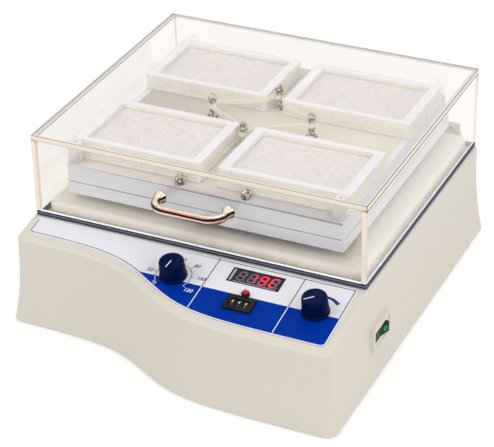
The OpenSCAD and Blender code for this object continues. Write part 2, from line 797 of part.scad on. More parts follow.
module motor() {
    color("dimgray") translate([0, cy, bracket_z - motor_h]) difference() {
        union() {
            rotate_extrude() polygon([
                [0, 0], [motor_r - 1, 0], [motor_r, 1], [motor_r, motor_h - 14], [motor_r - 2, motor_h - 14],
                [motor_r - 2, motor_h - 12], [motor_r, motor_h - 12], [motor_r, motor_h], [0, motor_h]
            ]);
            cylinder(r = 8, h = motor_h + bracket_t);
        }
        translate([0, 0, motor_h - 25]) cylinder(r = motor_shaft_r + run_gap, h = 40);
    }
}

module motor_bracket() {
    color("silver") translate([0, cy, bracket_z]) linear_extrude(bracket_t) difference() {
        round_square(2 * bracket_hole + 16, 2 * bracket_hole + 16, 6);
        circle(r = 8.2);
        for (x = [-1, 1], y = [-1, 1]) translate([x * bracket_hole, y * bracket_hole])
            circle(r = screw_r + 0.2);
    }
}

module motor_screws() {
    color("silver") for (x = [-1, 1], y = [-1, 1])
        translate([x * bracket_hole, cy + y * bracket_hole, bracket_z]) screw(12);
}

module flanged_sleeve(outer, inner, h, flange_r, flange) {
    ring(outer, inner, h);
    translate([0, 0, h]) ring(flange_r, inner, flange);
}

module deck_bearings() {
    color("goldenrod") {
        translate([0, cy, deck_z - bearing_h])
            flanged_sleeve(drive_seat_r, drive_journal_r + run_gap, bearing_h, drive_seat_r + 2, flange_t);
        for (p = idler_places) translate([p.x, cy + p.y, deck_z - bearing_h - 2])
            flanged_sleeve(
                idler_seat_r, idler_journal_r + run_gap, bearing_h + 2, idler_seat_r + 2, flange_t
            );
    }
}

module drive_crank() {
    hub_z = bracket_z + bracket_t + 1;
    color("silver") translate([0, cy, 0]) difference() {
        union() {
            translate([0, 0, hub_z]) cylinder(r = 8, h = deck_z - bearing_h - 1 - hub_z);
            translate([0, 0, hub_z]) cylinder(r = drive_journal_r, h = disc_z - hub_z + 1);
            translate([0, 0, disc_z]) cylinder(r = drive_disc_r, h = crank_disc_t);
            translate([0, crank_e, disc_z]) cylinder(r = drive_pin_r, h = pin_top - disc_z);
        }
        translate([0, 0, hub_z - over]) cylinder(r = motor_shaft_r + seat_gap, h = 14 + over);
    }
}

module motor_shaft() {
    color("silver") translate([0, cy, bracket_z - 22]) cylinder(r = motor_shaft_r, h = 22 + bracket_t + 15);
}

// Half ring opposite the pin, which balances the platform's orbit
module counterweight() {
    color("darkgoldenrod") translate([0, cy, disc_z]) difference() {
        cylinder(r = weight_r, h = crank_disc_t - 0.5);
        translate([0, 0, -over]) cylinder(r = drive_disc_r + seat_gap, h = 10);
        translate([-weight_r - over, -6, -over]) cube([2 * (weight_r + over), weight_r + 18, 10]);
    }
}

module idler_crank(i) {
    p = idler_places[i - 1];
    color("silver") translate([p.x, cy + p.y, 0]) {
        translate([0, 0, deck_z - bearing_h - 3])
            cylinder(r = idler_journal_r, h = disc_z - deck_z + bearing_h + 4);
        translate([0, 0, disc_z]) cylinder(r = idler_disc_r, h = crank_disc_t);
        translate([0, crank_e, disc_z]) cylinder(r = idler_journal_r, h = pin_top - disc_z);
    }
}
module idler_crank_1() { idler_crank(1); }
module idler_crank_2() { idler_crank(2); }
module idler_crank_3() { idler_crank(3); }

// Places of the platform's bearings, moved by the throw of the cranks
module platform_bearing_places() {
    translate([0, stage_y, 0]) children(0);
    for (p = idler_places) translate([p.x, stage_y + p.y, 0]) children(1);
}

module platform_bearings() {
    low = disc_top + free_gap;
    color("goldenrod") platform_bearing_places() {
        union() {
            translate([0, 0, low]) ring(12, drive_pin_r + run_gap, pan_z - low);
            translate([0, 0, pan_z]) ring(9, drive_pin_r + run_gap, pin_top - pan_z);
        }
        union() {
            translate([0, 0, low]) ring(10, idler_journal_r + run_gap, pan_z - low);
            translate([0, 0, pan_z]) ring(7, idler_journal_r + run_gap, pin_top - pan_z);
        }
    }
}

pan_floor = 3;
skirt_t = 2.5;
module platform_pan() {
    color("lightsteelblue") difference() {
        union() {
            translate([0, stage_y, pan_z]) difference() {
                linear_extrude(pan_h) round_square(platform_w, platform_d, 2.5);
                translate([0, 0, pan_floor]) linear_extrude(pan_h)
                    round_square(platform_w - 4 * skirt_t, platform_d - 4 * skirt_t, 2);
            }
            // The inner lip shows as the dark line between pan and tray
            translate([0, stage_y, pan_z + pan_h]) linear_extrude(seam_h + 3) difference() {
                round_square(platform_w - 2 * skirt_t - 0.6, platform_d - 2 * skirt_t - 0.6, 1.5);
                round_square(platform_w - 4 * skirt_t, platform_d - 4 * skirt_t, 2);
            }
            platform_bearing_places() {
                translate([0, 0, pan_z]) cylinder(r = 12, h = pin_top - pan_z - 2);
                translate([0, 0, pan_z]) cylinder(r = 10, h = pin_top - pan_z - 2);
            }
        }
        platform_bearing_places() {
            translate([0, 0, pan_z - over]) cylinder(r = 9 + seat_gap, h = pin_top - pan_z + over);
            translate([0, 0, pan_z - over]) cylinder(r = 7 + seat_gap, h = pin_top - pan_z + over);
        }
    }
}

tray_top_t = 4;
module platform_tray() {
    color("lightsteelblue") difference() {
        union() {
            translate([0, stage_y, tray_z]) linear_extrude(tray_h - 0.8)
                round_square(platform_w, platform_d, 2.5);
            translate([0, stage_y, stage_z - 0.8]) linear_extrude(0.8)
                round_square(platform_w - 1, platform_d - 1, 2.2);
            // Short pads at the corners stand on the pan
            for (x = [-1, 1], y = [-1, 1])
                translate([x * (platform_w / 2 - 1.5), stage_y + y * (platform_d / 2 - 1.5), tray_z - seam_h])
                    cylinder(r = 1.2, h = seam_h + 1);
        }
        translate([0, stage_y, tray_z - over]) linear_extrude(tray_h - tray_top_t + over)
            round_square(platform_w - 2 * skirt_t, platform_d - 2 * skirt_t, 1.5);
    }
}

heater_t = 2;
module heater_mat() {
    color("orange") translate([0, stage_y, stage_z - tray_top_t - heater_t])
        linear_extrude(heater_t) round_square(platform_w - 24, platform_d - 24, 8);
}

module temperature_probe() {
    color("silver") translate([-60, stage_y, stage_z - tray_top_t - heater_t - 3 - 0.1])
        rotate([0, 90, 0]) {
            cylinder(r = 3, h = 28);
            sphere(r = 3);
        }
}

// Turned post with a foot, a waist for the band and a slotted head
module band_post() {
    difference() {
        rotate_extrude() polygon([
            [0, 0], [5.5, 0], [5.5, 1.2], [4.6, 2], [post_stem_r + 0.4, 2],
            [post_stem_r + 0.4, post_h - 15], [3.6, post_h - 14.4], [3.6, post_h - 13.8],
            [post_stem_r, post_h - 13.2], [post_stem_r, post_h - 8.6],
            [3.9, post_h - 7.6], [3.9, post_h - 2.6], [3, post_h - 2], [3, post_h - 1], [2.2, post_h],
            [0, post_h]
        ]);
        translate([-5, -0.5, post_h - 2]) cube([10, 1, 3]);
        for (i = [0 : 9]) rotate([0, 0, 36 * i]) translate([4.2, 0, post_h - 8]) cylinder(r = 0.6, h = 5.6);
    }
}
post_places = [[post_x, 0], [0, post_y], [-post_x, 0], [0, -post_y]];
module band_posts() {
    color("darkgoldenrod") for (p = post_places) translate([p.x, stage_y + p.y, stage_z]) band_post();
}

// The band loops round each post and is pushed inwards by the inner corner of each plate
wrap_r = post_stem_r + band_t / 2 + 0.05;
band_lap = 0.05;
corner_in = plate_inset + plate_round - (plate_round + band_t / 2 + 0.25) / sqrt(2);
corner_point = [plate_gap_x / 2 + corner_in, plate_gap_y / 2 + corner_in];
// Place where the band leaves the loop round a post at c, on the side that turn gives
function leave_point(c, turn) =
    let(d = corner_point - c, a = atan2(d.y, d.x) + turn * acos(wrap_r / norm(d)))
    c + wrap_r * [cos(a), sin(a)];
module band_link(from) {
    d = corner_point - from;
    translate(from) rotate(atan2(d.y, d.x)) translate([0, band_lap - band_t / 2])
        square([norm(d), band_t - 2 * band_lap]);
}
module band_quarter() {
    band_link(leave_point([post_x, 0], -1));
    band_link(leave_point([0, post_y], 1));
    translate(corner_point) circle(r = band_t / 2);
}
module elastic_band() {
    color("lemonchiffon") translate([0, stage_y, stage_z + post_h - 13.1]) linear_extrude(band_h) {
        for (x = [0, 1], y = [0, 1]) mirror([x, 0]) mirror([0, y]) band_quarter();
        for (p = post_places) translate(p) difference() {
            circle(r = wrap_r + band_t / 2);
            circle(r = wrap_r - band_t / 2);
        }
    }
}

stop_x = platform_w / 2 - stop_r;
stop_y = plate_gap_y / 2 + plate_w + stop_gap + stop_r;
module corner_stops() {
    color("white", 0.5) for (x = [-1, 1], y = [-1, 1])
        translate([x * stop_x, stage_y + y * stop_y, stage_z]) rotate_extrude() polygon([
            [0, 0], [stop_r, 0], [stop_r, stop_h - 1], [stop_r - 1, stop_h], [2, stop_h], [1.6, stop_h - 3],
            [0, stop_h - 3]
        ]);
}

module stop_pins() {
    color("rosybrown") for (p = peg_places)
        translate([p.x, stage_y + p.y * stop_y, stage_z]) rotate_extrude() polygon([
            [0, 0], [peg_r, 0], [peg_r, peg_h - 1], [peg_r - 1, peg_h], [0, peg_h]
        ]);
}

// Microplate with a foot flange, a rim and a sunk field of wells
module microplate(i) {
    sx = i % 2 == 1 ? -1 : 1;
    sy = i < 3 ? -1 : 1;
    floor_h = plate_h - field_sunk;
    color("white") translate([sx * plate_cx, stage_y + sy * plate_cy, stage_z]) difference() {
        union() {
            linear_extrude(2.5) round_square(plate_l, plate_w, 3.2);
            linear_extrude(plate_h)
                round_square(plate_l - 2 * plate_inset, plate_w - 2 * plate_inset, plate_round);
        }
        translate([0, 0, floor_h]) linear_extrude(field_sunk + over) round_square(field_l, field_w, 3);
        for (c = [0 : 11], r = [0 : 7])
            translate([(c - 5.5) * well_pitch, (r - 3.5) * well_pitch, 1.6])
                cylinder(r = well_r, h = plate_h, $fn = 24);
    }
}
module microplate_1() { microplate(1); }
module microplate_2() { microplate(2); }
module microplate_3() { microplate(3); }
module microplate_4() { microplate(4); }

// Sheets of the cover: the top lies on four walls, the front and back stand between the side walls
wall_h = cover_h - sheet_t;
inner_w = cover_w - 2 * sheet_t;
module cover_top() {
    color("azure", 0.3) translate([-cover_w / 2, cy - cover_d / 2, cover_z + wall_h])
        cube([cover_w, cover_d, sheet_t]);
}
module end_wall(y) {
    translate([-inner_w / 2, y, cover_z]) cube([inner_w, sheet_t, wall_h]);
}
module cover_front() {
    color("azure", 0.3) difference() {
        end_wall(cy - cover_d / 2);
        for (s = [-1, 1]) translate([s * handle_l / 2, cy - cover_d / 2 - over, cover_z + handle_z])
            rotate([-90, 0, 0]) cylinder(r = 2.1, h = sheet_t + 2 * over);
    }
}
module cover_back() {
    color("azure", 0.3) difference() {
        end_wall(cy + cover_d / 2 - sheet_t);
        screw_places(cover_screw_z) translate([0, cy + cover_d / 2 + over, 0])
            rotate([90, 0, 0]) cylinder(r = screw_r, h = sheet_t - 0.5 + over);
    }
}
module side_wall(x) {
    translate([x, cy - cover_d / 2, cover_z]) cube([sheet_t, cover_d, wall_h]);
}
module cover_left() { color("azure", 0.3) side_wall(-cover_w / 2); }
module cover_right() { color("azure", 0.3) side_wall(cover_w / 2 - sheet_t); }

// Bow handle: flared feet, two quarter turns and a straight bar
module cover_handle() {
    turn_r = handle_out - handle_r - 6;
    half = handle_l / 2;
    color("silver") translate([0, cy - cover_d / 2, cover_z + handle_z]) difference() {
        union() {
            for (s = [0, 1]) mirror([s, 0, 0]) {
                translate([half, 0, 0]) rotate([90, 0, 0])
                    cylinder(r1 = handle_r + 2.2, r2 = handle_r, h = 6);
                translate([half - turn_r, -6, 0]) rotate([0, 0, -90]) rotate_extrude(angle = 90)
                    translate([turn_r, 0]) circle(r = handle_r);
            }
            translate([turn_r - half, -6 - turn_r, 0]) rotate([0, 90, 0])
                cylinder(r = handle_r, h = 2 * (half - turn_r));
        }
        for (s = [-1, 1]) translate([s * half, over, 0]) rotate([90, 0, 0]) cylinder(r = 2, h = 8 + over);
    }
}

module handle_screws() {
    color("silver") for (s = [-1, 1])
        translate([s * handle_l / 2, cy - cover_d / 2 + sheet_t, cover_z + handle_z])
            rotate([90, 0, 0]) screw(sheet_t + 6, 2);
}

module control_board() {
    color("darkgreen") translate([board_x, board_y, floor_z + board_lift]) {
        translate([-board_w / 2, -board_d / 2, 0]) cube([board_w, board_d, 1.6]);
        translate([-40, -25, 1.6]) cube([18, 30, 12]);
        translate([-10, -20, 1.6]) cube([26, 12, 4]);
        for (i = [0 : 3]) translate([30 + (i % 2) * 12, -20 + floor(i / 2) * 14, 1.6])
            cylinder(r = 4.5, h = 14);
        translate([-15, 20, 1.6]) cube([40, 8, 10]);
    }
}

module transformer() {
    color("sienna") translate([64 - ledge_x, cy + ledge_back - 93, floor_z]) {
        translate([-33, -28, 0]) cube([66, 56, 3]);
        translate([-28, -24, 3]) cube([56, 14, 44]);
        translate([-28, 10, 3]) cube([56, 14, 44]);
        translate([-28, -10, 3]) cube([56, 20, 8]);
        translate([-28, -10, 39]) cube([56, 20, 8]);
        translate([-22, -21, 11]) cube([44, 42, 28]);
    }
}

housing();
bottom_plate();
bottom_screws();
feet();
panel_overlay();
cover_seal();
display_module();
display_window();
thumbwheel_case();
led_lens();
led_holder();
timer_movement();
speed_potentiometer();
switch_frame();
hinge_leaves_base();
hinge_pins();
hinge_screws_base();
motor();
motor_bracket();
motor_screws();
deck_bearings();
control_board();
transformer();
power_inlet();
cover_top();
cover_front();
cover_back();
cover_left();
cover_right();
cover_handle();
handle_screws();
hinge_leaves_cover();
hinge_screws_cover();
drive_crank();
counterweight();
motor_shaft();
idler_crank_1();
idler_crank_2();
idler_crank_3();
platform_tray();
platform_pan();
heater_mat();
temperature_probe();
platform_bearings();
band_posts();
elastic_band();
corner_stops();
stop_pins();
microplate_1();
microplate_2();
microplate_3();
microplate_4();
timer_knob();
timer_shaft();
speed_knob();
speed_shaft();
power_rocker();
thumbwheel_1();
thumbwheel_2();
thumbwheel_3();
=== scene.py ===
"""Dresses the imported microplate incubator: camera, studio, finishes, and the small pieces that show."""

import json
from math import acos, atan2, cos, degrees, pi, radians, sin

import bmesh
import bpy
from mathutils import Matrix, Vector


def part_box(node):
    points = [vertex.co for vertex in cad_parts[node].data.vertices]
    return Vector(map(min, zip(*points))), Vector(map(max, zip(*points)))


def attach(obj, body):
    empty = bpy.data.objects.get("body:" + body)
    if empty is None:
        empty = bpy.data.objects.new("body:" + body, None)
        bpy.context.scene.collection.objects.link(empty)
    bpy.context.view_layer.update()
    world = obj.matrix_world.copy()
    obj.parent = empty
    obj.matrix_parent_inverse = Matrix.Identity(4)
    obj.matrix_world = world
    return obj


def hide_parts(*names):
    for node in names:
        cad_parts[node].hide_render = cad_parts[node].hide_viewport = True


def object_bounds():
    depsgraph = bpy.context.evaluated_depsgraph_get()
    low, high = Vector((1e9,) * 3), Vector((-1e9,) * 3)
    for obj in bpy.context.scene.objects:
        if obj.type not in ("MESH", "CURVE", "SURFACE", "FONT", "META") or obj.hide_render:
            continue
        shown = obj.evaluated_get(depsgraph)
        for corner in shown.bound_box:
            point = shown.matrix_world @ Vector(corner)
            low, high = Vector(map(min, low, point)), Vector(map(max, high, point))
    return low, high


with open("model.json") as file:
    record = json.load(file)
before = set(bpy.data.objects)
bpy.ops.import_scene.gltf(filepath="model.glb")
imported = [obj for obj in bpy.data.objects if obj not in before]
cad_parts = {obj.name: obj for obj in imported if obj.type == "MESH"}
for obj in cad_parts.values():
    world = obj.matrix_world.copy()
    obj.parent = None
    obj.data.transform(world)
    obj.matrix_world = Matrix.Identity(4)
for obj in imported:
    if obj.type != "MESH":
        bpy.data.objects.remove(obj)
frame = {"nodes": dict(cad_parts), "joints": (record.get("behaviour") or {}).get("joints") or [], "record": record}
cad_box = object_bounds()
nodes = frame["nodes"]
joints = {j["name"]: j for j in frame["joints"]}
MM = 0.001

# Camera, solved on the cover's corners and on the plates
CAMERA_AIM = Vector((-0.00333, 0.01460, 0.05812))
CAMERA_AWAY = 1.82962
CAMERA_TURN = 25.521
CAMERA_RISE = 30.729
CAMERA_ROLL = -1.207
CAMERA_LENS = 142.72


def place_camera():
    turn, rise, roll = (radians(a) for a in (CAMERA_TURN, CAMERA_RISE, CAMERA_ROLL))
    back = Vector((sin(turn) * cos(rise), -cos(turn) * cos(rise), sin(rise)))
    right = Vector((0, 0, 1)).cross(back).normalized()
    up = back.cross(right)
    right, up = cos(roll) * right + sin(roll) * up, cos(roll) * up - sin(roll) * right
    camera = bpy.data.objects.new("camera", bpy.data.cameras.new("camera"))
    bpy.context.scene.collection.objects.link(camera)
    camera.data.lens = CAMERA_LENS
    camera.data.clip_start = 0.05
    stand = Matrix.Translation(CAMERA_AIM + back * CAMERA_AWAY)
    camera.matrix_world = stand @ Matrix((right, up, back)).transposed().to_4x4()
    bpy.context.scene.camera = camera


# Node trees

def srgb(r, g, b):
    """A colour given as it looks on screen, 0 to 255, as the linear colour that a shader takes."""
    def linear(v):
        v /= 255
        return v / 12.92 if v <= 0.04045 else ((v + 0.055) / 1.055) ** 2.4
    return (linear(r), linear(g), linear(b), 1)


class Tree:
    """A short way to add nodes and links to one node tree."""

    def __init__(self, tree):
        self.tree = tree

    def add(self, kind, **settings):
        node = self.tree.nodes.new(kind)
        for key, value in settings.items():
            setattr(node, key, value)
        return node

    def wire(self, source, socket):
        self.tree.links.new(source, socket)

    def give(self, socket, value):
        if isinstance(value, bpy.types.NodeSocket):
            self.wire(value, socket)
        else:
            socket.default_value = value

    def math(self, operation, a, b=0.0, clamp=False):
        node = self.add("ShaderNodeMath", operation=operation, use_clamp=clamp)
        self.give(node.inputs[0], a)
        self.give(node.inputs[1], b)
        return node.outputs[0]

    def mix(self, factor, a, b):
        node = self.add("ShaderNodeMix", data_type="RGBA")
        self.give(node.inputs[0], factor)
        self.give(node.inputs[6], a)
        self.give(node.inputs[7], b)
        return node.outputs[2]

    def remap(self, value, low, high, to_low=0.0, to_high=1.0):
        node = self.add("ShaderNodeMapRange", clamp=True)
        for socket, v in zip(node.inputs, (value, low, high, to_low, to_high)):
            self.give(socket, v)
        return node.outputs[0]

    def noise(self, vector, scale, detail=2.0, rough=0.5):
        node = self.add("ShaderNodeTexNoise")
        self.wire(vector, node.inputs["Vector"])
        node.inputs["Scale"].default_value = scale
        node.inputs["Detail"].default_value = detail
        node.inputs["Roughness"].default_value = rough
        return node.outputs["Fac"]

    def group(self, group, **values):
        node = self.add("ShaderNodeGroup", node_tree=group)
        for name, value in values.items():
            self.give(node.inputs[name.replace("_", " ")], value)
        return node


def new_group(name, inputs, outputs):
    """A node group with named sockets; returns its tree, its input sockets and its output node."""
    group = bpy.data.node_groups.new(name, "ShaderNodeTree")
    for socket, kind, value in inputs:
        item = group.interface.new_socket(socket, in_out="INPUT", socket_type=kind)
        if value is not None:
            item.default_value = value
    for socket, kind in outputs:
        group.interface.new_socket(socket, in_out="OUTPUT", socket_type=kind)
    tree = Tree(group)
    return tree, tree.add("NodeGroupInput").outputs, tree.add("NodeGroupOutput").inputs


VECTOR, FLOAT, COLOR = "NodeSocketVector", "NodeSocketFloat", "NodeSocketColor"


def moulded_grain_group():
    """Slow change of tone, fine grain and the height of a moulded or painted skin."""
    tree, given, out = new_group(
        "moulded_grain",
        [("Vector", VECTOR, None), ("Color", COLOR, (0.8, 0.8, 0.8, 1)), ("Tone", FLOAT, 0.04),
         ("Patch Scale", FLOAT, 14.0), ("Grain Scale", FLOAT, 900.0), ("Roughness", FLOAT, 0.4)],
        [("Color", COLOR), ("Roughness", FLOAT), ("Height", FLOAT)],
    )
    def noise(scale, detail):
        node = tree.add("ShaderNodeTexNoise")
        tree.wire(given["Vector"], node.inputs["Vector"])
        tree.wire(scale, node.inputs["Scale"])
        node.inputs["Detail"].default_value = detail
        return node.outputs["Fac"]
    patch = noise(given["Patch Scale"], 3.0)
    grain = noise(given["Grain Scale"], 1.0)
    shade = tree.math("MULTIPLY", tree.math("SUBTRACT", patch, 0.5), given["Tone"])
    bright = tree.math("ADD", 1.0, tree.math("MULTIPLY", shade, 2.0))
    scaled = tree.add("ShaderNodeVectorMath", operation="SCALE")
    tree.wire(given["Color"], scaled.inputs[0])
    tree.wire(bright, scaled.inputs["Scale"])
    tree.wire(scaled.outputs[0], out["Color"])
    rough = tree.math("ADD", given["Roughness"], tree.math("MULTIPLY", tree.math("SUBTRACT", patch, 0.5), 0.12))
    tree.wire(rough, out["Roughness"])
    tree.wire(grain, out["Height"])
    return tree.tree


def brushed_group():
    """Fine lines along one axis, for turned, drawn or brushed metal."""
    tree, given, out = new_group(
        "brushed_lines",
        [("Vector", VECTOR, None), ("Stretch", VECTOR, (1, 1, 30)), ("Scale", FLOAT, 300.0), ("Roughness", FLOAT, 0.3)],
        [("Roughness", FLOAT), ("Height", FLOAT), ("Mask", FLOAT)],
    )
    stretched = tree.add("ShaderNodeVectorMath", operation="MULTIPLY")
    tree.wire(given["Vector"], stretched.inputs[0])
    tree.wire(given["Stretch"], stretched.inputs[1])
    node = tree.add("ShaderNodeTexNoise")
    tree.wire(stretched.outputs[0], node.inputs["Vector"])
    tree.wire(given["Scale"], node.inputs["Scale"])
    node.inputs["Detail"].default_value = 3.0
    lines = node.outputs["Fac"]
    rough = tree.math("ADD", given["Roughness"], tree.math("MULTIPLY", tree.math("SUBTRACT", lines, 0.5), 0.25))
    tree.wire(rough, out["Roughness"])
    tree.wire(lines, out["Height"])
    tree.wire(lines, out["Mask"])
    return tree.tree


def dust_group():
    """Light dust and handling marks: a mask that is patchy and never even."""
    tree, given, out = new_group(
        "handling_marks", [("Vector", VECTOR, None), ("Amount", FLOAT, 0.3)], [("Mask", FLOAT)]
    )
    wide = tree.noise(given["Vector"], 22.0, 4.0, 0.6)
    fine = tree.noise(given["Vector"], 420.0, 2.0, 0.7)
    both = tree.math("MULTIPLY", tree.remap(wide, 0.45, 0.75), tree.remap(fine, 0.4, 0.7))
    tree.wire(tree.math("MULTIPLY", both, given["Amount"]), out["Mask"])
    return tree.tree


GRAIN, BRUSHED, MARKS = moulded_grain_group(), brushed_group(), dust_group()


class Finish:
    """A material under way: its tree, its Principled shader and the piece's own coordinates."""

    def __init__(self, name, **sockets):
        self.material = bpy.data.materials.new(name)
        self.material.use_nodes = True
        self.tree = Tree(self.material.node_tree)
        self.shader = self.material.node_tree.nodes["Principled BSDF"]
        self.output = self.material.node_tree.nodes["Material Output"]
        coordinates = self.tree.add("ShaderNodeTexCoord")
        self.object = coordinates.outputs["Object"]
        for socket, value in sockets.items():
            self.shader.inputs[socket.replace("_", " ")].default_value = value

    def bump(self, height, depth, strength=1.0):
        node = self.tree.add("ShaderNodeBump")
        node.inputs["Distance"].default_value = depth
        node.inputs["Strength"].default_value = strength
        self.tree.wire(height, node.inputs["Height"])
        self.tree.wire(node.outputs[0], self.shader.inputs["Normal"])

    def feed(self, socket, source):
        self.tree.wire(source, self.shader.inputs[socket])

    def skin(self, color, tone, patch, grain, roughness, depth):
        """Colour, roughness and bump of a moulded or painted skin, all from one grain."""
        node = self.tree.group(GRAIN, Vector=self.object, Color=color, Tone=tone, Patch_Scale=patch,
                               Grain_Scale=grain, Roughness=roughness)
        self.feed("Base Color", node.outputs["Color"])
        self.feed("Roughness", node.outputs["Roughness"])
        self.bump(node.outputs["Height"], depth)
        return node.outputs["Color"]

    def axes(self):
        node = self.tree.add("ShaderNodeSeparateXYZ")
        self.tree.wire(self.object, node.inputs[0])
        return node.outputs


def moulded(name, color, roughness=0.4, tone=0.03, patch=14.0, grain=900.0, depth=0.00002, marks=0.0, **sockets):
    """Moulded or painted skin: slow tone, fine grain and, where asked, pale handling marks."""
    f = Finish(name, **sockets)
    tint = f.skin(color, tone, patch, grain, roughness, depth)
    if marks:
        dust = f.tree.group(MARKS, Vector=f.object, Amount=marks)
        f.feed("Base Color", f.tree.mix(dust.outputs["Mask"], tint, srgb(226, 220, 208)))
    return f.material


def metal(name, light, dark, roughness=0.3, stretch=(1, 1, 30), scale=300.0, depth=0.00001, metallic=1.0):
    """Metal with fine lines along one axis, from a dark to a light tone."""
    f = Finish(name, Metallic=metallic)
    lines = f.tree.group(BRUSHED, Vector=f.object, Stretch=stretch, Scale=scale, Roughness=roughness)
    patch = f.tree.noise(f.object, 60.0, 3.0)
    blend = f.tree.math("MULTIPLY", f.tree.math("ADD", lines.outputs["Mask"], patch), 0.5)
    f.feed("Base Color", f.tree.mix(f.tree.remap(blend, 0.4, 0.6), dark, light))
    f.feed("Roughness", lines.outputs["Roughness"])
    f.bump(lines.outputs["Height"], depth)
    return f.material


def clear(name, tint, roughness=0.0, ior=1.49):
    """Clear plastic, a little uneven, that lets the lamps' light straight through."""
    f = Finish(name, IOR=ior, Transmission_Weight=1.0)
    haze = f.tree.remap(f.tree.noise(f.object, 9.0, 3.0), 0.35, 0.75)
    f.feed("Base Color", f.tree.mix(haze, tint, tuple(0.985 * v for v in tint[:3]) + (1,)))
    f.feed("Roughness", f.tree.math("MULTIPLY", haze, roughness))
    lamp = f.tree.add("ShaderNodeLightPath").outputs["Is Shadow Ray"]
    both = f.tree.add("ShaderNodeMixShader")
    f.tree.wire(lamp, both.inputs[0])
    f.tree.wire(f.shader.outputs[0], both.inputs[1])
    f.tree.wire(f.tree.add("ShaderNodeBsdfTransparent").outputs[0], both.inputs[2])
    f.tree.wire(both.outputs[0], f.output.inputs["Surface"])
    return f.material


# Panel plane: the timer knob's joint gives a point on it and its normal
TIMER = joints["timer_turn"]
SPEED = joints["speed_turn"]
PANEL_NORMAL = Vector(TIMER["axis"]).normalized()
FILM = 0.4 * MM


def on_panel(x, y, lift=FILM):
    """Matrix of a place on the panel: x to the right, y up the slope in plan, z square to the panel."""
    at = Vector(TIMER["pos_m"])
    z = at.z - (PANEL_NORMAL.y * (y - at.y)) / PANEL_NORMAL.z
    side = Vector((1, 0, 0))
    slope = PANEL_NORMAL.cross(side)
    turn = Matrix((side, slope, PANEL_NORMAL)).transposed().to_4x4()
    return Matrix.Translation(Vector((x, y, z)) + PANEL_NORMAL * lift) @ turn


# Dividing lines of the print on the overlay
BLUE_FROM = -138.9 * MM
SEPARATORS = (25.6 * MM, 107.0 * MM)
LINE_HALF = 0.42 * MM
PRINT_WHITE = srgb(246, 247, 255)
PRINT_BLUE = srgb(0, 54, 166)
PRINT_NAVY = srgb(16, 22, 66)


def overlay_print():
    """Printed film: white above, blue below, with two thin upright lines that swap colour at the border."""
    f = Finish("overlay_print", Specular_IOR_Level=0.03)
    x, y, z = f.axes()
    below = f.tree.math("LESS_THAN", y, BLUE_FROM)
    lines = 0.0
    for place in SEPARATORS:
        line = f.tree.math("LESS_THAN", f.tree.math("ABSOLUTE", f.tree.math("SUBTRACT", x, place)), LINE_HALF)
        lines = f.tree.math("MAXIMUM", lines, line)
    ink = f.tree.mix(below, PRINT_NAVY, PRINT_WHITE)
    color = f.tree.mix(lines, f.tree.mix(below, PRINT_WHITE, PRINT_BLUE), ink)
    f.skin(color, 0.02, 20.0, 1400.0, 0.34, 0.000012)
    return f.material


def outline_print():
    """The thin line inside the overlay's edge: navy beside the white, blue beside the blue."""
    f = Finish("outline_print", Specular_IOR_Level=0.03)
    x, y, z = f.axes()
    f.skin(f.tree.mix(f.tree.math("LESS_THAN", y, BLUE_FROM), PRINT_NAVY, PRINT_BLUE), 0.02, 20.0, 1400.0, 0.34, 0.000004)
    return f.material


def plate_plastic():
    """Milky polystyrene: light goes a little way in, and the field of wells is faintly cloudy."""
    f = Finish("plate_plastic", IOR=1.55, Specular_IOR_Level=0.3, Subsurface_Weight=0.6, Subsurface_Scale=0.006)
    f.shader.inputs["Subsurface Radius"].default_value = (1.0, 0.94, 0.88)
    x, y, z = f.axes()
    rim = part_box("microplate_1")[1].z
    cloud = f.tree.remap(f.tree.noise(f.object, 330.0, 2.0), 0.35, 0.65)
    field = f.tree.mix(cloud, srgb(233, 228, 218), srgb(241, 236, 228))
    up = f.tree.remap(z, rim - 0.8 * MM, rim - 0.3 * MM)
    f.skin(f.tree.mix(up, field, srgb(234, 232, 238)), 0.02, 45.0, 700.0, 0.3, 0.00003)
    return f.material


MAT_FROM = -127.5 * MM
MAT_TO = 129.0 * MM


def platform_paint():
    """Pale grey paint and a cream mat on the top, with painted shade: the mat darker towards the left aisle, its front
    strip darker towards the right, and a painted shadow line under the front edge that widens to the right.
    """
    f = Finish("platform_paint", Specular_IOR_Level=0.3)
    x, y, z = f.axes()
    low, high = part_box("platform_tray")
    on_top = f.tree.math("GREATER_THAN", z, high.z - 0.25 * MM)
    inside = f.tree.math("MULTIPLY", f.tree.math("GREATER_THAN", x, MAT_FROM), f.tree.math("LESS_THAN", x, MAT_TO))
    mat = f.tree.math("MULTIPLY", on_top, inside)
    # painted shade: the mat darker at the left, where the plates shade the aisle
    cream = f.tree.mix(f.tree.remap(x, -0.09, 0.02), srgb(184, 175, 166), srgb(220, 212, 198))
    # painted shade: the front strip of the mat greyer and darker towards the right
    strip = f.tree.mix(f.tree.remap(x, low.x, high.x), srgb(222, 214, 206), srgb(186, 184, 188))
    cream = f.tree.mix(f.tree.math("LESS_THAN", y, low.y + 14 * MM), cream, strip)
    color = f.tree.mix(mat, srgb(224, 226, 230), cream)
    # painted shadow: a dark line under the front edge, deeper towards the right
    deep = f.tree.remap(x, low.x, high.x, 0.7 * MM, 3.0 * MM)
    line = f.tree.math("GREATER_THAN", z, f.tree.math("SUBTRACT", high.z, deep))
    line = f.tree.math("MULTIPLY", line, f.tree.math("LESS_THAN", z, high.z - 0.2 * MM))
    line = f.tree.math("MULTIPLY", line, f.tree.math("LESS_THAN", y, low.y + 0.4 * MM))
    shade = f.tree.mix(f.tree.remap(x, low.x, 0.0), srgb(178, 170, 165), srgb(156, 156, 162))
    f.skin(f.tree.mix(line, color, shade), 0.02, 18.0, 1100.0, 0.4, 0.00003)
    return f.material


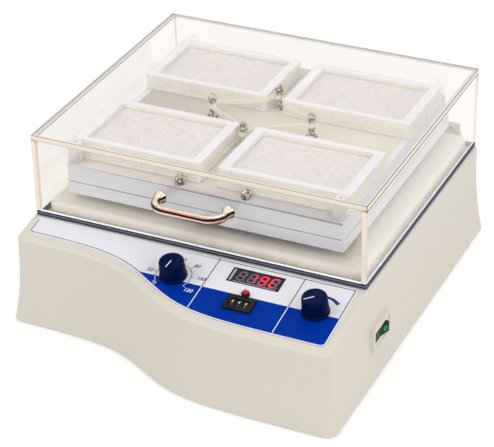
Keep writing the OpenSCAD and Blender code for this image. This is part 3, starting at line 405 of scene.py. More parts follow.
def glowing(name, color, strength):
    """A lit part of a display, with a faint unevenness."""
    f = Finish(name, Roughness=0.4, Specular_IOR_Level=0.1, Emission_Strength=strength)
    wave = f.tree.remap(f.tree.noise(f.object, 500.0, 1.0), 0.3, 0.7, 0.85, 1.0)
    tone = f.tree.mix(wave, tuple(0.8 * v for v in color[:3]) + (1,), color)
    f.feed("Base Color", tone)
    f.feed("Emission Color", tone)
    return f.material


def sheet_cut_painted_light(name, at_front, at_right, elsewhere, below, foot):
    """A cut edge of a clear sheet with painted light: a faint painted glow, one painted tone for each side of the
    cover's top as the light falls there, paler below, and a painted highlight along the walls' foot.
    """
    f = Finish(name, Specular_IOR_Level=0.2, Emission_Strength=0.22)
    x, y, z = f.axes()
    low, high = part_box("cover_top")
    front = f.tree.math("LESS_THAN", y, low.y + 6 * MM)
    right = f.tree.math("GREATER_THAN", x, high.x - 3 * MM)
    color = f.tree.mix(right, f.tree.mix(front, elsewhere, at_front), at_right)
    color = f.tree.mix(f.tree.math("LESS_THAN", z, low.z - 2 * MM), color, below)
    color = f.tree.mix(f.tree.math("LESS_THAN", z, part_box("cover_right")[0].z + 1.2 * MM), color, foot)
    # painted light: the painted tones also glow a little, though the edge is no lamp
    f.feed("Emission Color", f.skin(color, 0.03, 30.0, 900.0, 0.3, 0.00001))
    return f.material


def seal_stripes():
    """Ribbed rubber in bands by height, with painted shade: a painted near-black shadow band along the top where the
    cover sits, a dark navy band lower down, and slate between.
    """
    f = Finish("seal_stripes", Specular_IOR_Level=0.12)
    x, y, z = f.axes()
    low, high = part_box("cover_seal")
    share = f.tree.remap(z, low.z, high.z)
    lower = f.tree.math("LESS_THAN", f.tree.math("ABSOLUTE", f.tree.math("SUBTRACT", share, 0.38)), 0.13)
    # painted shadow: the top band near black, under the cover's edge
    top_shadow = f.tree.math("GREATER_THAN", share, 0.79)
    color = f.tree.mix(top_shadow, f.tree.mix(lower, srgb(122, 130, 150), srgb(48, 54, 76)), srgb(26, 30, 44))
    f.skin(color, 0.06, 40.0, 900.0, 0.6, 0.00006)
    return f.material


# Painted reflections on the polished handle: each tone from so many mm below or above the middle of its bar
HANDLE_REFLECTION_TONES = ((-9.0, srgb(70, 44, 36)), (-1.9, srgb(220, 194, 186)), (0.6, srgb(34, 16, 10)),
                (2.4, srgb(150, 100, 72)), (3.0, srgb(240, 222, 206)))


def handle_chrome():
    """Polished bar with painted reflections: bands of colour by height along its length stand for the bright room
    above, the dark table edge and the pale ledge.
    """
    f = Finish("handle_chrome", Metallic=1.0)
    x, y, z = f.axes()
    low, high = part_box("cover_handle")
    lines = f.tree.group(BRUSHED, Vector=f.object, Stretch=(0.3, 6, 6), Scale=60.0, Roughness=0.1)
    wave = f.tree.math("MULTIPLY", f.tree.math("SUBTRACT", lines.outputs["Mask"], 0.5), 1.6 * MM)
    height = f.tree.math("SUBTRACT", f.tree.math("ADD", z, wave), (low.z + high.z) / 2)
    color = HANDLE_REFLECTION_TONES[0][1]
    for start, tone in HANDLE_REFLECTION_TONES[1:]:
        color = f.tree.mix(f.tree.remap(height, start * MM, (start + 0.5) * MM), color, tone)
    f.feed("Base Color", color)
    f.feed("Roughness", lines.outputs["Roughness"])
    f.bump(lines.outputs["Height"], 0.000002)
    return f.material


def knurled_brass():
    """Plated screws with a fine knurl and painted light: painted bright glints and dark painted gaps in the base
    colour.
    """
    f = Finish("knurled_brass", Metallic=0.5, Specular_IOR_Level=0.2)
    lines = f.tree.group(BRUSHED, Vector=f.object, Stretch=(1, 1, 0.7), Scale=520.0, Roughness=0.35)
    # painted glints and painted shade of the knurl
    points = f.tree.remap(lines.outputs["Mask"], 0.44, 0.56)
    f.feed("Base Color", f.tree.mix(points, srgb(58, 38, 32), srgb(236, 218, 204)))
    f.feed("Roughness", lines.outputs["Roughness"])
    f.bump(lines.outputs["Height"], 0.0002)
    return f.material


def stop_plastic():
    """Clear corner stops: milky where the eye meets the front ones, all but unseen at the back."""
    f = Finish("stop_plastic", Specular_IOR_Level=0.3)
    x, y, z = f.axes()
    f.skin(srgb(248, 242, 241), 0.04, 60.0, 900.0, 0.25, 0.00001)
    f.feed("Alpha", f.tree.remap(y, 0.0, 0.1, 0.55, 0.12))
    return f.material


def film_cover():
    """Thin milky film over a field of wells, a little uneven, so that the wells show faintly."""
    f = Finish("film_cover", Specular_IOR_Level=0.2, Alpha=0.86)
    x, y, z = f.axes()
    cloud = f.tree.remap(f.tree.noise(f.object, 300.0, 3.0, 0.7), 0.36, 0.64)
    f.skin(f.tree.mix(cloud, srgb(225, 217, 214), srgb(241, 236, 235)), 0.02, 40.0, 700.0, 0.4, 0.00002)
    return f.material


def matt(name, color, roughness, **more):
    """Dark plastic or rubber that throws little light back."""
    return moulded(name, color, roughness, **{"Specular_IOR_Level": 0.16, **more})


FINISHES = {
    "housing_shell": lambda: moulded("housing_shell", srgb(231, 225, 214), 0.42, 0.015, 9.0, 1300.0, 0.00002,
                                     Specular_IOR_Level=0.35),
    "sheet_steel": lambda: moulded("sheet_steel", srgb(214, 210, 200), 0.5, 0.03, 12.0, 900.0, 0.00003, 0.3),
    "plated_screw": lambda: metal("plated_screw", srgb(205, 203, 198), srgb(160, 158, 152), 0.28, (1, 1, 1), 900.0),
    "foot_rubber": lambda: matt("foot_rubber", srgb(34, 33, 33), 0.75, tone=0.08, patch=60.0, depth=0.00006, marks=0.5),
    "overlay_film": overlay_print,
    "seal_rubber": seal_stripes,
    "black_body": lambda: matt("black_body", srgb(20, 19, 22), 0.42, tone=0.06, patch=60.0, depth=0.00004, marks=0.06),
    "display_lens": lambda: matt("display_lens", srgb(52, 46, 62), 0.2, tone=0.03, patch=40.0, depth=0.000004),
    "led_red": lambda: moulded("led_red", srgb(206, 24, 24), 0.2, 0.04, 300.0, 900.0, 0.000004, Specular_IOR_Level=0.4,
                               Subsurface_Weight=0.2),
    "zinc": lambda: metal("zinc", srgb(196, 197, 196), srgb(150, 152, 154), 0.36, (1, 1, 1), 500.0),
    "white_nylon": lambda: moulded("white_nylon", srgb(232, 228, 218), 0.45, 0.03, 50.0, 1200.0, 0.00003,
                                   Subsurface_Weight=0.1),
    "steel": lambda: metal("steel", srgb(190, 189, 187), srgb(135, 134, 132), 0.3, (1, 1, 20), 400.0),
    "motor_paint": lambda: moulded("motor_paint", srgb(58, 60, 62), 0.45, 0.05, 40.0, 1200.0, 0.00004, 0.2),
    "bronze": lambda: metal("bronze", srgb(196, 156, 96), srgb(140, 104, 60), 0.4, (1, 1, 4), 500.0),
    "circuit_board": lambda: moulded("circuit_board", srgb(24, 92, 52), 0.3, 0.1, 200.0, 1800.0, 0.00003,
                                     Coat_Weight=0.4),
    "copper_core": lambda: moulded("copper_core", srgb(120, 72, 40), 0.5, 0.15, 120.0, 1200.0, 0.00005),
    "chrome_plate": handle_chrome,
    "anodised": platform_paint,
    "heater_rubber": lambda: moulded("heater_rubber", srgb(196, 92, 44), 0.7, 0.08, 60.0, 1500.0, 0.00006),
    "nickel_brass": knurled_brass,
    "elastic": lambda: moulded("elastic", srgb(238, 234, 210), 0.5, 0.05, 80.0, 1500.0, 0.00004,
                               Subsurface_Weight=0.3, Subsurface_Scale=0.002),
    "clear_plastic": stop_plastic,
    "plate_plastic": plate_plastic,
    "knob_plastic": lambda: matt("knob_plastic", srgb(1, 20, 66), 0.3, tone=0.05, patch=80.0, depth=0.00003,
                                 Specular_IOR_Level=0.05),
    "rocker_green": lambda: matt("rocker_green", srgb(0, 70, 30), 0.3, tone=0.2, patch=160.0, depth=0.000006,
                                 Specular_IOR_Level=0.04),
    "acrylic": lambda: clear("acrylic", (0.963, 0.947, 0.934, 1), 0.004),
}
made = {}


def finish(slot):
    """The material of a slot, made once, when it is first asked for."""
    if slot not in made:
        made[slot] = FINISHES[slot]()
    return made[slot]


node_slot = {s["node"]: s["material_slot"] for s in frame["record"]["subparts"]}
node_body = {n: body for body, members in frame["record"]["behaviour"]["bodies"].items() for n in members}


# Pieces

def as_object(name, bm, material, body, sharp=32.0):
    """Turns a bmesh that stands in its place into a piece that rides on a body."""
    for face in bm.faces:
        face.smooth = True
    for edge in bm.edges:
        edge.smooth = len(edge.link_faces) == 2 and edge.calc_face_angle(pi) < radians(sharp)
    mesh = bpy.data.meshes.new(name)
    bm.to_mesh(mesh)
    bm.free()
    mesh.materials.append(material)
    piece = bpy.data.objects.new(name, mesh)
    bpy.context.scene.collection.objects.link(piece)
    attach(piece, body)
    return piece


def flat_ceiling(bm):
    """Lays the ceiling under the panel anew as one flat face, without the fold that pokes out through the front."""
    down = [f for f in bm.faces if f.normal.dot(PANEL_NORMAL) < -0.999]
    level = max(down, key=lambda f: f.calc_area()).calc_center_median().dot(PANEL_NORMAL)

    def in_ceiling(face):
        return all(abs(v.co.dot(PANEL_NORMAL) - level) < 0.02 * MM for v in face.verts)

    old = [f for f in bm.faces if abs(f.normal.dot(PANEL_NORMAL)) > 0.99 and in_ceiling(f)]
    bmesh.ops.delete(bm, geom=old, context="FACES")
    rim = [e for e in bm.edges if e.is_boundary]
    bmesh.ops.triangle_fill(bm, use_beauty=True, use_dissolve=False, edges=rim, normal=-PANEL_NORMAL)
    bmesh.ops.recalc_face_normals(bm, faces=bm.faces)


def dress(node, name, bevel=0.0, segments=2, sharp=32.0, inset=0.0, cuts=(), mend=None, material=None):
    """A welded copy of a CAD node that shades smoothly, with its sharp edges rounded where bevel says so.

    cuts holds two more materials for a clear sheet: one for its narrow faces, one for its rounded edges."""
    bm = bmesh.new()
    bm.from_mesh(nodes[node].data)
    bmesh.ops.remove_doubles(bm, verts=bm.verts, dist=2e-6)
    bmesh.ops.dissolve_degenerate(bm, edges=bm.edges, dist=1e-6)
    if mend:
        mend(bm)
    low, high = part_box(node)
    if inset:
        for v in bm.verts:
            for i in range(3):
                v.co[i] = min(max(v.co[i], low[i] + inset), high[i] - inset)
    if cuts:
        bmesh.ops.dissolve_limit(bm, angle_limit=radians(0.5), verts=bm.verts, edges=bm.edges)
        size = high - low
        across = list(size).index(min(size))
        for face in bm.faces:
            face.material_index = int(abs(face.normal[across]) < 0.5)
    piece = as_object(name, bm, material or finish(node_slot[node]), node_body[node], sharp)
    for cut in cuts:
        piece.data.materials.append(cut)
    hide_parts(node)
    if bevel:
        rounding = piece.modifiers.new("rounding", "BEVEL")
        rounding.width = bevel
        rounding.segments = segments
        rounding.limit_method = "ANGLE"
        rounding.angle_limit = radians(40)
        rounding.material = len(cuts) if cuts else -1
    normals = piece.modifiers.new("normals", "WEIGHTED_NORMAL")
    normals.keep_sharp = True
    return piece


def bar(bm, matrix, width, depth, height, offset=(0, 0, 0)):
    """A block that stands on z = 0 of matrix."""
    block = bmesh.ops.create_cube(bm, size=1.0)["verts"]
    bmesh.ops.scale(bm, vec=(width, depth, height), verts=block)
    bmesh.ops.translate(bm, vec=Vector(offset) + Vector((0, 0, height / 2)), verts=block)
    bmesh.ops.transform(bm, matrix=matrix, verts=block)


def joined_to(verts):
    """All vertices that edges join to these."""
    found, edge = set(verts), list(verts)
    while edge:
        edge = list({w for v in edge for e in v.link_edges for w in e.verts if w not in found})
        found.update(edge)
    return list(found)


def arc_band(bm, matrix, radius, width, height, start, sweep, taper=1.0, steps=48):
    """A flat band round an arc, in degrees clockwise from the dial's top; it starts taper times as wide."""
    ring = bmesh.ops.create_grid(bm, x_segments=1, y_segments=1, size=0.5)["verts"]
    bmesh.ops.scale(bm, vec=(width, height, 1), verts=ring)
    bmesh.ops.rotate(bm, cent=(0, 0, 0), matrix=Matrix.Rotation(pi / 2, 3, "X"), verts=ring)
    bmesh.ops.translate(bm, vec=(radius, 0, height / 2), verts=ring)
    first = 90 - start
    bmesh.ops.rotate(bm, cent=(0, 0, 0), matrix=Matrix.Rotation(radians(first), 3, "Z"), verts=ring)
    end = list({f for v in ring for f in v.link_faces})
    bmesh.ops.spin(bm, geom=end, cent=(0, 0, 0), axis=(0, 0, 1), angle=-radians(sweep), steps=steps, use_merge=False)
    band = joined_to(ring)
    for v in band:
        turned = (first - degrees(atan2(v.co.y, v.co.x)) + 0.01) % 360
        share = taper + (1 - taper) * min(turned / sweep, 1.0)
        v.co.xy *= (radius + (v.co.xy.length - radius) * share) / v.co.xy.length
    bmesh.ops.recalc_face_normals(bm, faces=list({f for v in band for f in v.link_faces}))
    bmesh.ops.transform(bm, matrix=matrix, verts=band)


def lettering(text, size, matrix, height=0.04 * MM, slant=0.0, thick=0.0):
    """Plain figures as a closed mesh in their place, centred on matrix."""
    curve = bpy.data.curves.new("figures", "FONT")
    curve.body = text
    curve.size = size
    curve.align_x = "CENTER"
    curve.align_y = "CENTER"
    curve.extrude = height / 2
    curve.offset = thick
    curve.shear = slant
    curve.resolution_u = 3
    holder = bpy.data.objects.new("figures", curve)
    bpy.context.scene.collection.objects.link(holder)
    bpy.context.view_layer.update()
    mesh = bpy.data.meshes.new_from_object(holder.evaluated_get(bpy.context.evaluated_depsgraph_get()))
    bpy.data.objects.remove(holder)
    bm = bmesh.new()
    bm.from_mesh(mesh)
    bmesh.ops.remove_doubles(bm, verts=bm.verts, dist=1e-7)
    bmesh.ops.transform(bm, matrix=matrix, verts=bm.verts)
    bpy.data.meshes.remove(mesh)
    return bm


def one_mesh(parts):
    """One bmesh from several."""
    whole = bmesh.new()
    for part in parts:
        mesh = bpy.data.meshes.new("part")
        part.to_mesh(mesh)
        part.free()
        whole.from_mesh(mesh)
        bpy.data.meshes.remove(mesh)
    return whole


def raised(bm, way, height):
    """Gives flat faces a thickness along way."""
    up = bmesh.ops.extrude_face_region(bm, geom=bm.faces[:])["geom"]
    bmesh.ops.translate(bm, vec=way * height, verts=[g for g in up if isinstance(g, bmesh.types.BMVert)])
    bmesh.ops.recalc_face_normals(bm, faces=bm.faces)


def polar(matrix, angle, radius):
    """Matrix of a place on a dial, angle in degrees clockwise from its top; it stays upright."""
    return matrix @ Matrix.Translation((radius * sin(radians(angle)), radius * cos(radians(angle)), 0))


place_camera()
for node, slot in node_slot.items():
    nodes[node].data.materials.clear()
    nodes[node].data.materials.append(finish(slot))

# Housing, seal and the pieces let into the panel
dress("housing", "housing_skin", sharp=28.0, mend=flat_ceiling)
dress("cover_seal", "ribbed_seal", bevel=0.2 * MM)
bezel_ivory = moulded("bezel_ivory", srgb(254, 252, 244), 0.4, 0.02, 40.0, 1200.0, 0.00002)
dress("switch_frame", "switch_bezel", bevel=0.3 * MM, material=bezel_ivory)
dress("power_rocker", "rocker_cap", bevel=0.5 * MM, segments=3)
dress("thumbwheel_case", "time_switch_case", bevel=0.3 * MM)
dress("led_lens", "lamp_dome")
dress("led_holder", "lamp_holder", bevel=0.15 * MM)
dress("display_window", "display_pane", bevel=0.1 * MM)
dress("timer_knob", "timer_grip", bevel=0.2 * MM)
dress("speed_knob", "speed_grip", bevel=0.2 * MM)

# Cover
# painted light on the cut edges, painted shade on their rounded arrises, and a painted white highlight at the walls'
# foot
sheet_edges = sheet_cut_painted_light("sheet_edges", srgb(232, 222, 206), srgb(226, 216, 203), srgb(208, 203, 199),
                        srgb(236, 222, 212), srgb(246, 246, 248))
sheet_arris = sheet_cut_painted_light("sheet_arris", srgb(160, 142, 128), srgb(104, 84, 76), srgb(106, 99, 93),
                        srgb(214, 200, 187), srgb(250, 250, 252))
for side in ("top", "front", "back", "left", "right"):
    dress(f"cover_{side}", f"acrylic_{side}", bevel=0.5 * MM, segments=1, inset=0.02 * MM, cuts=(sheet_edges, sheet_arris))
dress("cover_handle", "bow_handle")

# Platform and what stands on it
dress("platform_tray", "heated_tray", bevel=0.4 * MM)
dress("platform_pan", "lower_pan", bevel=0.3 * MM)
dress("band_posts", "slotted_posts", bevel=0.12 * MM)
dress("elastic_band", "stretched_band", bevel=0.15 * MM)
dress("corner_stops", "clear_stops", bevel=0.3 * MM)
dress("stop_pins", "metal_pegs", bevel=0.2 * MM)
FIELD_L, FIELD_W, FIELD_SUNK = 107.0 * MM, 70.7 * MM, 5.4 * MM
film = film_cover()
for i in range(1, 5):
    dress(f"microplate_{i}", f"well_plate_{i}", bevel=0.25 * MM)
    plate_low, plate_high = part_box(f"microplate_{i}")
    middle = (plate_low + plate_high) / 2
    bm = bmesh.new()
    bar(bm, Matrix.Translation((middle.x, middle.y, plate_high.z - FIELD_SUNK + 0.03 * MM)), FIELD_L, FIELD_W, 0.12 * MM)
    upright = [e for e in bm.edges if abs(e.verts[0].co.z - e.verts[1].co.z) > 0.05 * MM]
    bmesh.ops.bevel(bm, geom=upright, offset=2.6 * MM, segments=4, profile=0.5, affect="EDGES", material=-1)
    as_object(f"well_film_{i}", bm, film, "platform")

# Print on the overlay
PRINT = 0.05 * MM
MARGIN = 1.3 * MM
OUTLINE = 0.8 * MM
dark_ink = moulded("dark_ink", srgb(24, 28, 48), 0.4, 0.05, 200.0, 2000.0, 0.000004, Specular_IOR_Level=0.2)
white_ink = moulded("white_ink", srgb(240, 242, 248), 0.4, 0.02, 200.0, 2000.0, 0.000004, Specular_IOR_Level=0.2)
blue_ink = moulded("blue_ink", srgb(14, 44, 138), 0.4, 0.05, 200.0, 2000.0, 0.000004, Specular_IOR_Level=0.2)
margin_ink = moulded("margin_ink", PRINT_WHITE, 0.34, 0.02, 20.0, 1400.0, 0.000004, Specular_IOR_Level=0.2)


def overlay_sheet():
    """The overlay's outline as one flat face on top of the film."""
    bm = bmesh.new()
    bm.from_mesh(nodes["panel_overlay"].data)
    bmesh.ops.remove_doubles(bm, verts=bm.verts, dist=2e-6)
    aside = [f for f in bm.faces if f.normal.dot(PANEL_NORMAL) < 0.99]
    bmesh.ops.delete(bm, geom=aside, context="FACES")
    bmesh.ops.delete(bm, geom=[e for e in bm.edges if not e.is_boundary], context="EDGES")
    rim = set(joined_to([min(bm.verts, key=lambda v: v.co.x)]))
    bmesh.ops.delete(bm, geom=[v for v in bm.verts if v not in rim], context="VERTS")
    face = bmesh.ops.contextual_create(bm, geom=bm.edges[:])["faces"][0]
    if face.normal.dot(PANEL_NORMAL) < 0:
        face.normal_flip()
    return bm


def edge_strip(name, skip, width, ink):
    """A printed strip that runs round the overlay, skip inside its edge, but not under the seal."""
    bm = overlay_sheet()
    for step, last in ((skip, False), (width, True)):
        if step:
            rim = bmesh.ops.inset_region(bm, faces=bm.faces[:], thickness=step, use_boundary=True, use_even_offset=True)["faces"]
            rest = [f for f in bm.faces if f not in rim]
            bmesh.ops.delete(bm, geom=rest if last else rim, context="FACES")
    seal_front = on_panel(30 * MM, -102.0 * MM)
    bmesh.ops.bisect_plane(bm, geom=bm.faces[:] + bm.edges[:] + bm.verts[:], dist=1e-7,
                           plane_co=seal_front.translation, plane_no=(-0.011, 1, 0), clear_outer=True)
    raised(bm, PANEL_NORMAL, 0.03 * MM)
    as_object(name, bm, ink, "base")


edge_strip("overlay_margin", 0.0, MARGIN, margin_ink)
edge_strip("overlay_outline", MARGIN, OUTLINE, outline_print())

# Timer dial: an arc, seven ticks and seven plain numbers
DIAL = on_panel(TIMER["pos_m"][0], TIMER["pos_m"][1])
DIAL_ZERO = 230.0
DIAL_STEP = 42.2
DIAL_R = 16.2 * MM
DIAL_LINE = 0.5 * MM
TICK = 3.2 * MM
NUMBER_R = 22.2 * MM
NUMBER_SIZE = 5.8 * MM


def dial_arc(name, start, sweep, ink):
    bm = bmesh.new()
    arc_band(bm, DIAL, DIAL_R, DIAL_LINE, PRINT, start, sweep)
    as_object(name, bm, ink, "base")


def timer_dial():
    drop = (TIMER["pos_m"][1] - BLUE_FROM) / (DIAL_R * PANEL_NORMAL.z)
    cross = 180 - degrees(acos(drop))
    last = DIAL_ZERO + 6 * DIAL_STEP - 360
    dial_arc("dial_arc_light_left", DIAL_ZERO, 360 - cross - DIAL_ZERO, white_ink)
    dial_arc("dial_arc_dark", 360 - cross, 2 * cross, dark_ink)
    dial_arc("dial_arc_light_right", cross, last - cross, white_ink)
    for on_blue, ink, word in ((False, dark_ink, "dark"), (True, white_ink, "light")):
        ticks, figures = bmesh.new(), []
        for k in range(7):
            angle = DIAL_ZERO + k * DIAL_STEP
            number = str(20 * k)
            out = NUMBER_R + 1.3 * MM * (len(number) - 1) * abs(sin(radians(angle)))
            place = polar(DIAL, angle, out) if k else polar(DIAL, angle - 9, 18.8 * MM)
            if (place.translation.y < BLUE_FROM) == on_blue:
                tick = polar(DIAL, angle, DIAL_R + TICK / 2) @ Matrix.Rotation(-radians(angle), 4, "Z")
                bar(ticks, tick, DIAL_LINE, TICK, PRINT)
                figures.append(lettering(number, NUMBER_SIZE, place, PRINT, 0.2, 0.0001))
        as_object(f"dial_ticks_{word}", ticks, ink, "base")
        as_object(f"dial_numbers_{word}", one_mesh(figures), ink, "base")


timer_dial()

# Speed dial: a wedge that widens clockwise
wedge = bmesh.new()
arc_band(wedge, on_panel(SPEED["pos_m"][0], SPEED["pos_m"][1]), 20.6 * MM, 3.6 * MM, PRINT, 300.0, 105.0, taper=0.15)
as_object("speed_wedge", wedge, blue_ink, "base")


# White pointer line let into the slot of each knob
def pointer(body, joint, angle):
    at = on_panel(joint["pos_m"][0], joint["pos_m"][1], 0)
    top = max((at.inverted() @ v.co).z for v in nodes[body + "_knob"].data.vertices)
    bm = bmesh.new()
    line = at @ Matrix.Translation((0, 0, top - 0.6 * MM)) @ Matrix.Rotation(-radians(angle), 4, "Z")
    bar(bm, line, 0.95 * MM, 9.4 * MM, 0.5 * MM, offset=(0, 4.8 * MM, 0))
    as_object(f"{body}_pointer", bm, white_ink, body)


pointer("timer", TIMER, 184.0)
pointer("speed", SPEED, 230.0)

# Temperature display: four seven-segment digits on the pane, and a bezel with a pale bar at its left and foot
DISPLAY_X, DISPLAY_Y = 66.6 * MM, -116.2 * MM
PANE_W, PANE_D = 48.0 * MM, 17.0 * MM
SEGMENTS = {"a": (0, 1, 0), "b": (0.5, 0.5, 90), "c": (0.5, -0.5, 90), "d": (0, -1, 0),
            "e": (-0.5, -0.5, 90), "f": (-0.5, 0.5, 90), "g": (0, 0, 0)}
DIGITS = ("", "bc", "abcdfg", "adef")
DIGIT_H, DIGIT_W, DIGIT_PITCH = 10.6 * MM, 5.8 * MM, 10.2 * MM
DIGITS_RIGHT = 1.9 * MM
SEGMENT_W = 1.45 * MM
LEAN = Matrix(((1, 0.12, 0, 0), (0, 1, 0, 0), (0, 0, 1, 0), (0, 0, 0, 1)))
segment_lit = glowing("segment_lit", srgb(255, 44, 58), 0.9)
segment_unlit = moulded("segment_unlit", srgb(134, 122, 130), 0.4, 0.03, 200.0, 900.0, 0.000004, Specular_IOR_Level=0.1)
bezel_bar = moulded("bezel_bar", srgb(186, 190, 208), 0.3, 0.04, 200.0, 1500.0, 0.00001, Specular_IOR_Level=0.2)


def segment(bm, matrix, length):
    """A bar with pointed ends: a circle of six points, turned so that two of them are its ends."""
    rim = bmesh.ops.create_circle(bm, cap_ends=True, segments=6, radius=1.0)["verts"]
    bmesh.ops.rotate(bm, cent=(0, 0, 0), matrix=Matrix.Rotation(pi / 2, 3, "Z"), verts=rim)
    for v in rim:
        point = abs(v.co.y) < 0.3
        v.co.x = (1 if v.co.x > 0 else -1) * (length / 2 - (0 if point else SEGMENT_W / 2))
        v.co.y = 0 if point else (1 if v.co.y > 0 else -1) * SEGMENT_W / 2
    face = list({f for v in rim for f in v.link_faces})
    up = bmesh.ops.extrude_face_region(bm, geom=face)["geom"]
    bmesh.ops.translate(bm, vec=(0, 0, PRINT), verts=[g for g in up if isinstance(g, bmesh.types.BMVert)])
    bmesh.ops.transform(bm, matrix=matrix, verts=joined_to(rim))


def display_digits():
    pane = on_panel(DISPLAY_X, DISPLAY_Y, FILM + 0.02 * MM)
    light, dark = bmesh.new(), bmesh.new()
    for k, on in enumerate(DIGITS):
        centre = pane @ Matrix.Translation(((k - 1.5) * DIGIT_PITCH + DIGITS_RIGHT, 0.3 * MM, 0)) @ LEAN
        for name, (sx, sy, turn) in SEGMENTS.items():
            at = Matrix.Translation((sx * DIGIT_W, sy * DIGIT_H / 2, 0)) @ Matrix.Rotation(radians(turn), 4, "Z")
            length = (DIGIT_W if turn == 0 else DIGIT_H / 2) - 0.4 * MM
            segment(light if name in on else dark, centre @ at, length)
        bar(dark, centre @ Matrix.Translation((DIGIT_W * 0.78, -DIGIT_H / 2, 0)), 1.1 * MM, 1.1 * MM, PRINT)
    for bm, name, material in ((light, "digits_lit", segment_lit), (dark, "digits_unlit", segment_unlit)):
        bmesh.ops.recalc_face_normals(bm, faces=bm.faces)
        as_object(name, bm, material, "base")


def display_bezel():
    """A low frame round the pane, and two pale bars inside it."""
    border, height = 1.0 * MM, 0.5 * MM
    at = on_panel(DISPLAY_X, DISPLAY_Y, FILM)
    bm = bmesh.new()
    bmesh.ops.create_grid(bm, x_segments=1, y_segments=1, size=0.5)
    bmesh.ops.scale(bm, vec=(PANE_W + border, PANE_D + border, 1), verts=bm.verts)
    middle = bm.faces[:]
    bmesh.ops.inset_region(bm, faces=middle, thickness=border, use_boundary=True, use_even_offset=True)
    bmesh.ops.delete(bm, geom=middle, context="FACES")
    raised(bm, Vector((0, 0, 1)), height)
    rim = [e for e in bm.edges if all(v.co.z > height / 2 for v in e.verts) and e.calc_face_angle(0) > 0.5]
    bmesh.ops.bevel(bm, geom=rim, offset=0.15 * MM, segments=2, profile=0.5, affect="EDGES", material=-1)
    bmesh.ops.transform(bm, matrix=at, verts=bm.verts)
    as_object("display_bezel", bm, finish("black_body"), "base")
    bars = bmesh.new()
    bar(bars, at, 1.9 * MM, 14.6 * MM, 0.3 * MM, offset=(-22.0 * MM, 0, 0))
    bar(bars, at, 40.0 * MM, 0.6 * MM, 0.3 * MM, offset=(1.6 * MM, -7.6 * MM, 0))
    as_object("display_bars", bars, bezel_bar, "base")


display_digits()
display_bezel()


# Number wheels: ten plain figures round each wheel
WHEELS_SET = (0, 0, 8)


def wheel_figures():
    upright = on_panel(0, 0).to_3x3().to_4x4()
    for i in range(1, 4):
        centre = Vector(joints[f"wheel_{i}_spin"]["pos_m"])
        reach = max((v.co - centre).yz.length for v in nodes[f"thumbwheel_{i}"].data.vertices)
        flat = reach * cos(radians(18)) + 0.01 * MM
        parts = []
        for k in range(10):
            face = Matrix.Translation(centre) @ Matrix.Rotation(radians(36 * k), 4, "X") @ upright
            place = face @ Matrix.Translation((0, 0, flat))
            parts.append(lettering(str((k + WHEELS_SET[i - 1]) % 10), 3.3 * MM, place, PRINT, 0.0, 0.0001))
        as_object(f"wheel_figures_{i}", one_mesh(parts), white_ink, f"wheel_{i}")


wheel_figures()


# Rocker marks: a ring on its rear half, a bar on its front half
mark_ink = moulded("mark_ink", srgb(150, 190, 190), 0.4, 0.05, 200.0, 2000.0, 0.000004, Specular_IOR_Level=0.2)


def rocker_marks():
    low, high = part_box("power_rocker")
    pivot = Vector(joints["rocker_tilt"]["pos_m"])
    for half in (-1, 1):
        tops = [f for f in nodes["power_rocker"].data.polygons if f.normal.x > 0.8 and half * (f.center.y - pivot.y) > 0]
        face = max(tops, key=lambda f: f.area)
        out = Vector(face.normal)
        along = Vector((0, 0, 1)).cross(out)
        turn = Matrix((along, Vector((0, 0, 1)), out)).transposed().to_4x4()
        middle = Vector((0, pivot.y + half * (high.y - low.y) * 0.27, pivot.z))
        middle.x = (out.dot(face.center) - out.y * middle.y - out.z * middle.z) / out.x
        at = Matrix.Translation(middle + out * 0.01 * MM) @ turn
        bm = bmesh.new()
        if half > 0:
            arc_band(bm, at, 1.9 * MM, 0.6 * MM, PRINT, 0.0, 359.9, steps=32)
        else:
            bar(bm, at, 0.7 * MM, 4.4 * MM, PRINT)
        as_object("mark_off" if half > 0 else "mark_on", bm, mark_ink, "rocker")


rocker_marks()


# Studio: white round the object for the eye and in reflections, even soft light for the object itself
WORLD_LIGHT = 0.6
FLOOR_GLOW = 0.34
LAMPS = {
    "key": ((-1.6, -1.9, 2.4), 1.6, 20, (1.0, 0.985, 0.96)),
    "fill": ((2.4, -1.2, 1.5), 1.8, 19, (0.97, 0.985, 1.0)),
    "top": ((0.2, 0.9, 2.6), 1.4, 10, (1.0, 1.0, 1.0)),
}


def seen_white(tree):
    """1 where the eye, a reflection or clear plastic looks at it, and 0 for light on other surfaces."""
    path = tree.add("ShaderNodeLightPath").outputs
    looked = tree.math("MAXIMUM", path["Is Glossy Ray"], path["Is Transmission Ray"])
    return tree.math("MAXIMUM", path["Is Camera Ray"], looked)


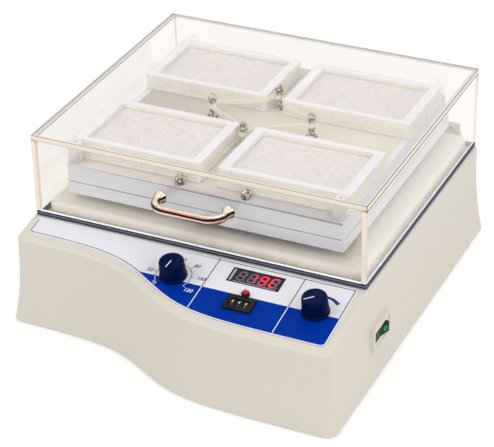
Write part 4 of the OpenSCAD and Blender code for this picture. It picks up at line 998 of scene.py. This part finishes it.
def studio_world():
    world = bpy.data.worlds.new("studio")
    bpy.context.scene.world = world
    world.use_nodes = True
    world.node_tree.nodes.clear()
    tree = Tree(world.node_tree)
    shades = []
    for color, strength in (((1.0, 0.985, 0.965, 1), WORLD_LIGHT), ((1, 1, 1, 1), 1.0)):
        shade = tree.add("ShaderNodeBackground")
        shade.inputs[0].default_value = color
        shade.inputs[1].default_value = strength
        shades.append(shade)
    both = tree.add("ShaderNodeMixShader")
    tree.wire(seen_white(tree), both.inputs[0])
    tree.wire(shades[0].outputs[0], both.inputs[1])
    tree.wire(shades[1].outputs[0], both.inputs[2])
    tree.wire(both.outputs[0], tree.add("ShaderNodeOutputWorld").inputs[0])


def studio_floor():
    bm = bmesh.new()
    bmesh.ops.create_grid(bm, x_segments=1, y_segments=1, size=6.0)
    mesh = bpy.data.meshes.new("floor")
    bm.to_mesh(mesh)
    bm.free()
    floor = bpy.data.objects.new("floor", mesh)
    bpy.context.scene.collection.objects.link(floor)
    floor.location.z = cad_box[0][2]
    paper = Finish("floor_paper", Roughness=0.9, Specular_IOR_Level=0.0)
    paper.shader.inputs["Base Color"].default_value = (0.86, 0.86, 0.85, 1)
    glow = paper.tree.add("ShaderNodeEmission")
    paper.tree.wire(paper.tree.math("MULTIPLY", seen_white(paper.tree), FLOOR_GLOW), glow.inputs["Strength"])
    total = paper.tree.add("ShaderNodeAddShader")
    paper.tree.wire(paper.shader.outputs[0], total.inputs[0])
    paper.tree.wire(glow.outputs[0], total.inputs[1])
    paper.tree.wire(total.outputs[0], paper.output.inputs["Surface"])
    mesh.materials.append(paper.material)


def studio_lamps():
    for name, (at, size, watts, tint) in LAMPS.items():
        lamp = bpy.data.objects.new(name, bpy.data.lights.new(name, "AREA"))
        bpy.context.scene.collection.objects.link(lamp)
        lamp.data.size = size
        lamp.data.energy = watts
        lamp.data.color = tint
        lamp.location = at
        lamp.rotation_euler = (Vector((0, 0, 0.08)) - Vector(at)).to_track_quat("-Z", "Y").to_euler()


studio_world()
studio_floor()
studio_lamps()
bpy.context.scene.view_settings.view_transform = "Standard"
